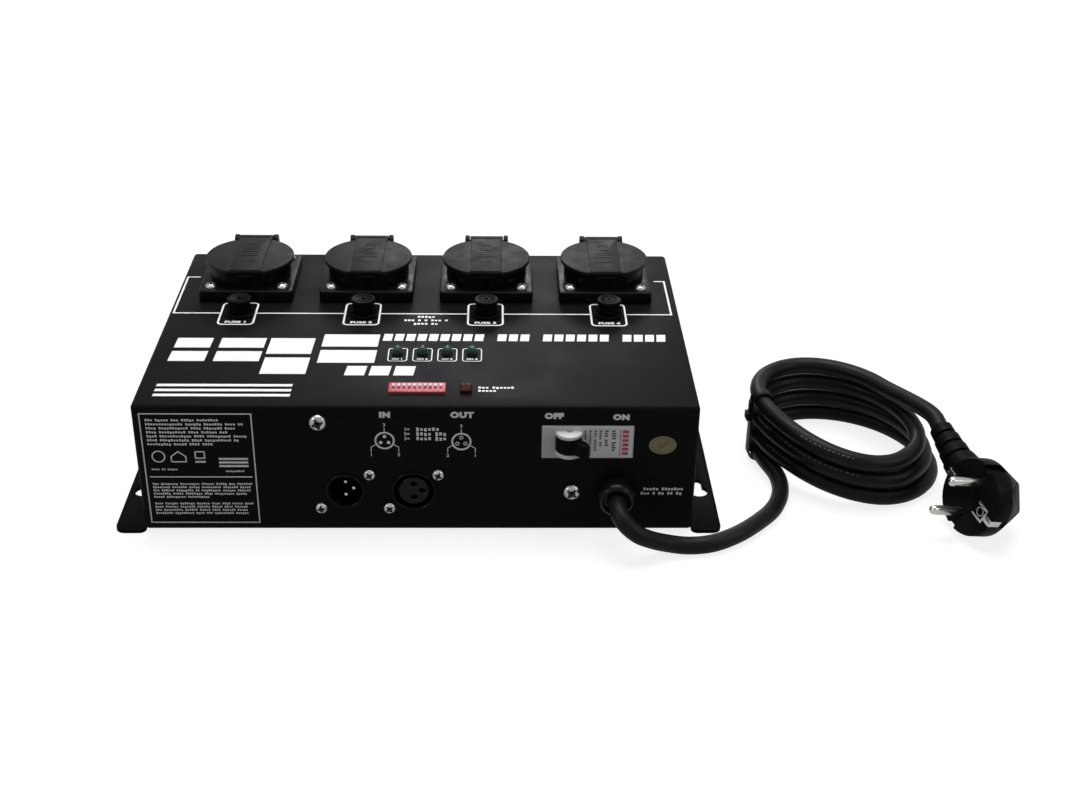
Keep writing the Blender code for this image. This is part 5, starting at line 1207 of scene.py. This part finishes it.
def make_data_plugs():
    rise, deep = 0.0008, 0.0232
    for name, centre, radius, bore in (("in", DATA_IN, 0.0098, 0.0082), ("out", DATA_OUT, 0.0110, 0.0097)):
        profile = [
            (bore, rise - 0.0004), (bore + 0.0004, rise), (radius - 0.0003, rise),
            (radius, rise - 0.0003), (radius, -deep), (bore, -deep), (bore, rise - 0.0004),
        ]
        shell = spun(profile, 72)
        flange = slab(rounded_box(0.0310, 0.0260, 0.0020), -0.0038, -0.0018)
        put(shell, carved(flange, rod((0, 0, -0.01), (0, 0, 0.01), (radius + bore) / 2, 48)))
        shell = moved(shell, Matrix.Translation(centre) @ TO_FRONT)
        piece(f"data_{name}_shell", shell, SOCKET_PLASTIC, nodes=(f"dmx_{name}_shell",), slot="black_plastic")
    place = Matrix.Translation(DATA_IN) @ TO_FRONT
    face, low = DATA_SEAT, DATA_SEAT - DATA_SEAT_DEEP
    base = spun([(0.0, face), (0.0076, face), (0.0079, face - 0.0003), (0.0079, low), (0.0, low)], 48)
    put(base, block((-0.0010, 0.0066, face - 0.0010), (0.0010, 0.0079, -0.0030), 0.0002))
    piece("data_in_base", moved(base, place), SOCKET_PLASTIC, nodes=("dmx_in_insert",), slot="black_plastic")
    pins = bmesh.new()
    tip = dome(CONTACT_ROUND, CONTACT_ROUND, -0.0034, 6)
    pin = mesh_of(spun(tip + [(CONTACT_ROUND, DATA_TAIL), (0.0, DATA_TAIL)], 24), "pin")
    for x, y in DATA_CONTACTS:
        stamp(pins, pin, place_at(x, y, 0.0))
    piece("data_in_pins", moved(pins, place), NICKEL_PLATE)
    place = Matrix.Translation(DATA_OUT) @ TO_FRONT
    profile = [(0.0, 0.0), (0.0071, 0.0), (0.0075, -0.0004), (0.0075, face), (0.0094, face), (0.0094, low)]
    holes = []
    tails = bmesh.new()
    for x, y in DATA_CONTACTS:
        holes.append(rod((x, y, face), (x, y, OVER), 0.0014, 24))
        holes.append(rod((x, y, -0.0006), (x, y, 0.0002), 0.0014, 24, 0.0021))
        put(tails, rod((x, y, DATA_TAIL), (x, y, face - 0.0060), CONTACT_ROUND, 16))
    core = carved(spun(profile + [(0.0, low)], 48), *holes)
    piece("data_out_core", moved(core, place), GLAND_NYLON, nodes=("dmx_out_insert",), slot="black_plastic")
    piece("data_out_tails", moved(tails, place), NICKEL_PLATE)


# Breaker


def make_breaker():
    place = Matrix.Translation(BREAKER)
    body = block((-0.0415, 0.0075, -BREAKER_HALF), (0.0415, 0.0685, BREAKER_HALF), 0.0006)
    put(body, block((-NOSE_HALF, -NOSE_RISE, -BREAKER_HALF), (NOSE_HALF, 0.0085, BREAKER_HALF), 0.0005, 3))
    axis, inner = (LEVER_X, LEVER_Y), DRUM_RECESS
    body = carved(body, rod((*axis, -inner), (*axis, inner), 0.0065, 48))
    piece("breaker_case", moved(body, place), BREAKER_GREY, nodes=("breaker_body",), slot="grey_plastic")
    cheeks = bmesh.new()
    for side in (-1, 1):
        disc = rod((*axis, side * inner), (*axis, side * (inner + 0.0020)), 0.0064, 64)
        soften(disc, 0.0004, 3, 60.0)
        pivot = rod((*axis, side * 0.0030), (*axis, side * 0.0070), 0.0013, 24)
        put(cheeks, carved(disc, pivot))
    piece("breaker_cheeks", moved(cheeks, place), BREAKER_WHITE)
    drum = rod((0, 0, -0.0039), (0, 0, 0.0039), 0.0062, 64)
    soften(drum, 0.0002, 2, 60.0)
    lever = slab(lever_outline(), -0.0036, 0.0036, 0.0005, 3)
    put(drum, lever, turned(REST_TURN))
    put(drum, rod((0, 0, -0.0058), (0, 0, 0.0058), 0.0010, 24))
    drum = moved(drum, place @ place_at(LEVER_X, LEVER_Y, 0.0))
    piece("breaker_lever_arm", drum, KNOB_PLASTIC, "breaker_lever", ("breaker_toggle",), slot="black_plastic")
    film = slab(rounded_box(0.0286, 0.0165, 0.0004, 0.0072, 0.0), 0.0, LABEL_THICK)
    piece("breaker_label", moved(film, place @ place_at(0.0, -NOSE_RISE, 0.0) @ TO_FRONT), LABEL_FILM)


def lever_outline():
    """The lever seen along its axis, pointing to -Y, a little hollow at its sides and round at its tip."""
    tip = 0.0135
    return [
        (-0.0030, -0.0030), (-0.0022, -0.0070), (-0.0020, -tip + 0.0012), (-0.0012, -tip), (0.0012, -tip),
        (0.0020, -tip + 0.0012), (0.0022, -0.0070), (0.0030, -0.0030),
    ]


def make_gland():
    """Domed nut with a rolled front edge, a recess round the cord, and its lock nut behind the panel."""
    profile = [
        (0.0, 0.0080), (0.0062, 0.0080), (0.0064, 0.0098), (0.0067, 0.0102), (0.0072, 0.0101),
        (0.0080, 0.0094), (0.0087, 0.0082), (0.0092, 0.0066), (0.00935, 0.0050), (0.00935, 0.0016),
        (0.0091, 0.0012), (0.0091, GAP), (0.0080, GAP), (0.0080, -0.0018), (0.0110, -0.0018),
        (0.0110, -0.0063), (0.0080, -0.0063), (0.0080, -0.0108), (0.0, -0.0108),
    ]
    shape = carved(spun(profile, 72), rod((0, 0, 0.0060), (0, 0, 0.0120), CORD_ROUND + 0.0002, 48))
    shape = moved(shape, Matrix.Translation(GLAND) @ TO_FRONT)
    piece("cord_gland", shape, GLAND_NYLON, nodes=("cable_gland",), slot="black_plastic", smooth=40)


# Print on the panels


def next_draw(seed):
    """The next number of a fixed row of draws."""
    return (seed * 1103515245 + 12345) % 2147483648


class Print:
    """Flat print on a panel: every mark is a thin closed patch."""

    def __init__(self, place):
        self.place = place
        self.shape = bmesh.new()

    def patch(self, outline):
        put(self.shape, slab(outline, -INK_SINK, INK_RISE))

    def bar(self, x0, y0, x1, y1, lean=0.0):
        rise = (y1 - y0) * lean
        self.patch([(x0, y0), (x1, y0), (x1 + rise, y1), (x0 + rise, y1)])

    def frame(self, outline, line):
        """The outline drawn with a line of this width, inwards."""
        shape = bmesh.new()
        face = shape.faces.new([shape.verts.new((x, y, -INK_SINK)) for x, y in outline])
        face.normal_update()
        bmesh.ops.inset_region(shape, faces=[face], thickness=line, use_even_offset=True, use_boundary=True)
        bmesh.ops.delete(shape, geom=[face], context="FACES")
        made = bmesh.ops.extrude_face_region(shape, geom=list(shape.faces))
        lifted = [v for v in made["geom"] if isinstance(v, bmesh.types.BMVert)]
        bmesh.ops.translate(shape, verts=lifted, vec=(0, 0, INK_RISE + INK_SINK))
        bmesh.ops.recalc_face_normals(shape, faces=shape.faces)
        put(self.shape, shape)

    def stroke(self, points, line):
        """A line through the points with mitred corners."""
        points = [Vector(p) for p in points]
        left, right = [], []
        for k, point in enumerate(points):
            before = (point - points[k - 1]).normalized() if k else None
            after = (points[k + 1] - point).normalized() if k + 1 < len(points) else None
            way = before if after is None else after if before is None else (before + after).normalized()
            side = Vector((-way.y, way.x))
            reach = line / 2 / max(0.3, side.dot(Vector((-(after or before).y, (after or before).x))))
            left.append(tuple(point + side * reach))
            right.append(tuple(point - side * reach))
        self.patch(right + left[::-1])

    def ring(self, x, y, radius, line, steps=32):
        self.frame(arc(x, y, radius, 0, 360, steps)[:-1], line)

    def disc(self, x, y, radius, steps=24):
        self.patch(arc(x, y, radius, 0, 360, steps)[:-1])

    def words(self, x, y, high, lengths, cell, gap=0.34, lean=0.0, seed=0, even=False):
        """A row of plain marks in groups, each mark a cell wide: it stands in for small print."""
        for count in lengths:
            for k in range(count):
                seed = next_draw(seed)
                kind = (seed >> 16) % 6
                low = y - high * 0.22 if kind == 0 and not even else y
                top = y + high if even or kind in (1, 2) or k == 0 else y + high * 0.78
                self.bar(x, low, x + cell * (1 - gap), top, lean)
                x += cell
            x += cell * 0.8
        return x

    def text(self, words, x, y, high, bold=0.0, wide=1.0, apart=1.0):
        """Lettering with its middle at x and its foot at y."""
        curve = bpy.data.curves.new("letters", "FONT")
        curve.body = words
        curve.size = high / 0.73
        curve.align_x = "CENTER"
        curve.offset = bold
        curve.extrude = (INK_RISE + INK_SINK) / 2
        curve.resolution_u = 3
        curve.space_character = apart
        place = place_at(x, y, (INK_RISE - INK_SINK) / 2) @ Matrix.Diagonal((wide, 1, 1, 1))
        put(self.shape, form_of(curve, WELD), place)

    def finish(self, name, material):
        return piece(name, moved(self.shape, self.place), material)


def on_top():
    return place_at(0.0, 0.0, TOP)


def on_front(y=FRONT):
    return Matrix.Translation((0.0, y, 0.0)) @ TO_FRONT


def print_switch_numbers(centres, y, z):
    marks = Print(place_at(0.0, 0.0, z))
    for k, x in enumerate(centres, 1):
        marks.text(str(k), x, y - 0.0042, 0.0011)
        marks.bar(x - 0.0008, y + 0.0026, x + 0.0008, y + 0.0036)
    marks.finish("switch_numbers", INK_ROSE)


def open_box(left, right, front, rear, corner, lip):
    """The path of a rounded box, left open at the rear between its lips."""
    path = [(left + lip, rear)] + arc(left + corner, rear - corner, corner, 90, 180, 5)
    path += arc(left + corner, front + corner, corner, 180, 270, 5)
    path += arc(right - corner, front + corner, corner, 270, 360, 5)
    return path + arc(right - corner, rear - corner, corner, 0, 90, 5) + [(right - lip, rear)]


def print_fuse_row():
    marks = Print(on_top())
    line = 0.0010
    wide, front, rear = 0.0183, -0.0027, 0.0232
    edges = []
    for i, x, shift in zip(CHANNELS, FUSE_X, (0.0012, 0.0007, 0.0005, 0.0002)):
        left, right = x - shift - wide / 2, x - shift + wide / 2
        edges.append((left, right))
        marks.stroke(open_box(left, right, front, rear, 0.0026, 0.0056), line)
        marks.text(f"FUSE {i}", x - shift, front + 0.0020, 0.0021, 0.00016, 1.25, 1.10)
    across = 0.0108
    first, last = edges[0][0], edges[-1][1]
    marks.stroke([(-0.1258, 0.0565), (-0.1326, 0.0565), (-0.1325, across), (first, across)], line)
    for (_, start), (stop, _) in zip(edges, edges[1:]):
        marks.stroke([(start, across), (stop, across)], line)
    marks.stroke([(last, across), (0.1307, across), (0.1307, 0.0533), (0.1250, 0.0533)], line)
    for row, (count, y) in enumerate((((5,), 0.0062), ((3, 1, 1, 3, 1), 0.0020), ((4, 2), -0.0022))):
        total = (sum(count) + 0.8 * (len(count) - 1)) * 0.0019
        marks.words(0.0010 - total / 2, y, 0.0019, count, 0.0019, 0.30, 0.0, 7 + row)
    marks.finish("fuse_print", INK_WHITE)


def print_channel_row():
    marks = Print(on_top())
    wide, front, rear, shift = 0.0094, -0.0435, -0.0296, 0.00005
    for i, x in zip(CHANNELS, LAMP_X):
        left, right = x + shift - wide / 2, x + shift + wide / 2
        marks.stroke(open_box(left, right, front, rear, 0.0016, 0.0028), 0.0005)
        marks.text(f"CH {i}", x + shift, front + 0.0016, 0.0015, 0.00010, 1.15, 1.06)
    for row, y in enumerate((-0.0720, -0.0752)):
        marks.words(0.0290, y, 0.0018, (3, 6) if row == 0 else (5,), 0.0018, 0.3, 0.0, 3 + row)
    marks.finish("channel_print", INK_WHITE)


def print_title():
    """Four heavy blocks, each split across, and two rows of plain marks."""
    marks = Print(on_top())
    split = 0.0020
    for left, right, low, high in (
        (-0.1256, -0.1075, -0.0441, -0.0186), (-0.1032, -0.0805, -0.0441, -0.0186),
        (-0.0785, -0.0560, -0.0575, -0.0186), (-0.0515, -0.0231, -0.0455, -0.0140),
    ):
        middle = (low + high) / 2
        marks.bar(left, low, right, middle - split, 0.04)
        marks.bar(left + 0.0005, middle + split, right + 0.0005, high, 0.04)
    marks.words(-0.0370, -0.0588, 0.0098, (3,), 0.0120, 0.18, 0.10, 5, True)
    x = -0.0205
    for k, count in enumerate((9, 3, 6, 4)):
        x = marks.words(x, -0.0210, 0.0077, (count,), 0.00585, 0.22, 0.08, 11 + k, True)
        x += 0.0012
    for k in range(3):
        marks.bar(-0.1262, -0.0805 + 0.0050 * k, -0.0610, -0.0781 + 0.0050 * k, 0.1)
    marks.finish("title_print", INK_WHITE)


def print_front():
    marks = Print(on_front())
    line = 0.0006
    left, right, low, high = -0.1314, -0.0781, 0.0063, 0.0680
    marks.frame([(left, low), (right, low), (right, high), (left, high)], line)
    marks.bar(left + 0.0020, 0.0325, right - 0.0020, 0.0331)
    rows = (
        (0.0637, (3, 5, 3, 5, 8)), (0.0615, (14, 6, 7, 4, 2)), (0.0593, (4, 11, 4, 7, 4)),
        (0.0571, (4, 10, 4, 6, 3)), (0.0549, (4, 12, 4, 9, 5)), (0.0527, (4, 11, 4, 10, 2)),
        (0.0505, (9, 5, 4, 4)),
    )
    for k, (y, count) in enumerate(rows):
        marks.words(left + 0.0028, y, 0.00120, count, 0.00128, 0.30, 0.0, 20 + k)
    rows = (
        (0.0283, (3, 8, 9, 6, 5, 3, 7)), (0.02645, (8, 7, 5, 9, 7, 5)), (0.0246, (3, 6, 8, 2, 9, 6, 6)),
        (0.02275, (8, 5, 8, 4, 9, 5)), (0.0209, (5, 9, 10)), (0.0171, (4, 6, 7, 6, 4, 4, 5, 4)),
        (0.01525, (4, 6, 7, 6, 5, 4, 6)), (0.0134, (3, 9, 6, 5, 4, 6, 5)), (0.01155, (8, 9, 4, 3, 9, 6)),
    )
    for k, (y, count) in enumerate(rows):
        marks.words(left + 0.0030, y, 0.00105, count, 0.00105, 0.30, 0.0, 40 + k)
    marks.ring(-0.1241, 0.0442, 0.0033, 0.0006)
    x = -0.1146
    house = [(-0.0035, -0.0029), (-0.0035, 0.0), (0.0, 0.0028), (0.0035, 0.0), (0.0035, -0.0029)]
    house.append(house[0])
    marks.stroke([(x + dx, 0.0442 + dz) for dx, dz in house], 0.0006)
    marks.frame([(-0.1068, 0.0430), (-0.1018, 0.0430), (-0.1018, 0.0472), (-0.1068, 0.0472)], 0.0006)
    marks.bar(-0.1068, 0.0408, -0.1018, 0.0418)
    for k in range(3):
        marks.bar(-0.0955, 0.0384 + 0.0020 * k, -0.0815, 0.0395 + 0.0020 * k)
    marks.words(-0.1280, 0.0366, 0.0009, (4, 2, 5), 0.0010, 0.3, 0.0, 4)
    marks.words(-0.0925, 0.0356, 0.0009, (9,), 0.0010, 0.3, 0.0, 6)
    for name, centre, filled in (("IN", (-0.0157, 0.0533), True), ("OUT", (0.0210, 0.0528), False)):
        x, y = centre
        marks.ring(x, y, 0.00485, 0.0009)
        for angle in (90, 210, 330):
            px = x + 0.0022 * math.cos(math.radians(angle))
            py = y + 0.0022 * math.sin(math.radians(angle))
            if filled:
                marks.disc(px, py, 0.0009)
            else:
                marks.ring(px, py, 0.0010, 0.0004, 20)
        marks.stroke([(x, y + 0.0049), (x, y + 0.0070)], 0.0004)
        leader = ((0.0042, -0.0022), (0.0066, -0.0036), (0.0066, -0.0062))
        for side in (-1, 1):
            marks.stroke([(x + side * dx, y + dy) for dx, dy in leader], 0.0004)
        numbers = ("3", "1", "2") if filled else ("3", "2", "1")
        for words, dx, dy in zip(numbers, (0.0, -0.0066, 0.0066), (0.0078, -0.0086, -0.0086)):
            marks.text(words, x + dx, y + dy, 0.0018, 0.00004, 1.1)
        marks.text(name, x + 0.0004, 0.0661, 0.0029, 0.00030, 1.20, 1.14)
    for k, (y, count) in enumerate(((0.0588, (6,)), (0.0562, (4, 3)), (0.0536, (4, 3)))):
        marks.text(f"{k + 1}=", -0.0050, y, 0.0017, 0.00005, 1.1)
        marks.words(-0.0005, y, 0.0017, count, 0.0019, 0.34, 0.0, 60 + k)
    marks.text("OFF", 0.06525, 0.0657, 0.0028, 0.00030, 1.20, 1.14)
    marks.text("ON", 0.09735, 0.0651, 0.0028, 0.00030, 1.20, 1.14)
    for k, (y, count) in enumerate(((0.0254, (5, 7)), (0.0229, (3, 1, 2, 2, 2)))):
        marks.words(0.1085 + 0.0012 * (1 - k), y, 0.0015, count, 0.00155, 0.32, 0.0, 70 + k)
    marks.finish("front_print", INK_WHITE)


def print_breaker():
    face = on_front(FRONT - NOSE_RISE - LABEL_THICK)
    grey = Print(face)
    x0, z0 = BREAKER.x + 0.0019, BREAKER.z
    columns = (
        (-0.0035, (4, 3), 0.0010), (-0.0012, (6, 4), 0.0010), (0.0012, (3, 5), 0.0010),
        (0.0036, (4, 2), 0.0012), (0.0062, (3, 3), 0.0018), (0.0096, (4, 4), 0.0020),
    )
    for seed, (x, groups, wide) in enumerate(columns, 80):
        z = z0 + 0.0068
        for group in groups:
            for _ in range(group):
                seed = next_draw(seed)
                size = wide * (0.8 + 0.2 * ((seed >> 16) % 2))
                grey.bar(x0 + x, z - 0.0009, x0 + x + size, z)
                z -= 0.00135
            z -= 0.0010
    grey.finish("breaker_print", INK_GREY)
    red = Print(face)
    for k in range(6):
        red.bar(x0 + 0.0147, z0 + 0.0052 - 0.0024 * k, x0 + 0.0177, z0 + 0.0069 - 0.0024 * k)
    red.bar(x0 + 0.0135, z0 - 0.0074, x0 + 0.0139, z0 + 0.0074)
    red.finish("breaker_red_print", INK_PINK)


def make_sticker():
    """Oval foil sticker with a ring and a check mark."""
    x, z = STICKER
    round_way = arc(0, 0, 1.0, 0, 360, 48)[:-1]
    foil = slab([(x + 0.00665 * c, z + 0.0050 * s) for c, s in round_way], -INK_SINK, FOIL_THICK)
    piece("oval_sticker", moved(foil, on_front()), FOIL_GOLD)
    marks = Print(on_front(FRONT - FOIL_THICK))
    marks.frame([(x + 0.0058 * c, z + 0.0042 * s) for c, s in round_way], 0.00025)
    marks.stroke([(x - 0.0022, z + 0.0002), (x - 0.0006, z - 0.0016), (x + 0.0026, z + 0.0022)], 0.0008)
    marks.finish("sticker_print", INK_GREY)


def dress_inner_nodes():
    inner = (("transformer", CORE_STEEL), ("circuit_board", BOARD_LACQUER), ("breaker_rail", ZINC_PLATE))
    for node, material in inner:
        dress(node, material)


make_camera()
make_floor()
make_light()
make_cord()
make_case()
make_sockets()
make_lids()
make_fuses()
make_switches()
make_lamps()
make_data_plugs()
make_breaker()
make_gland()
make_screws()
print_fuse_row()
print_channel_row()
print_title()
print_front()
print_breaker()
make_sticker()
dress_inner_nodes()

bpy.context.view_layer.update()
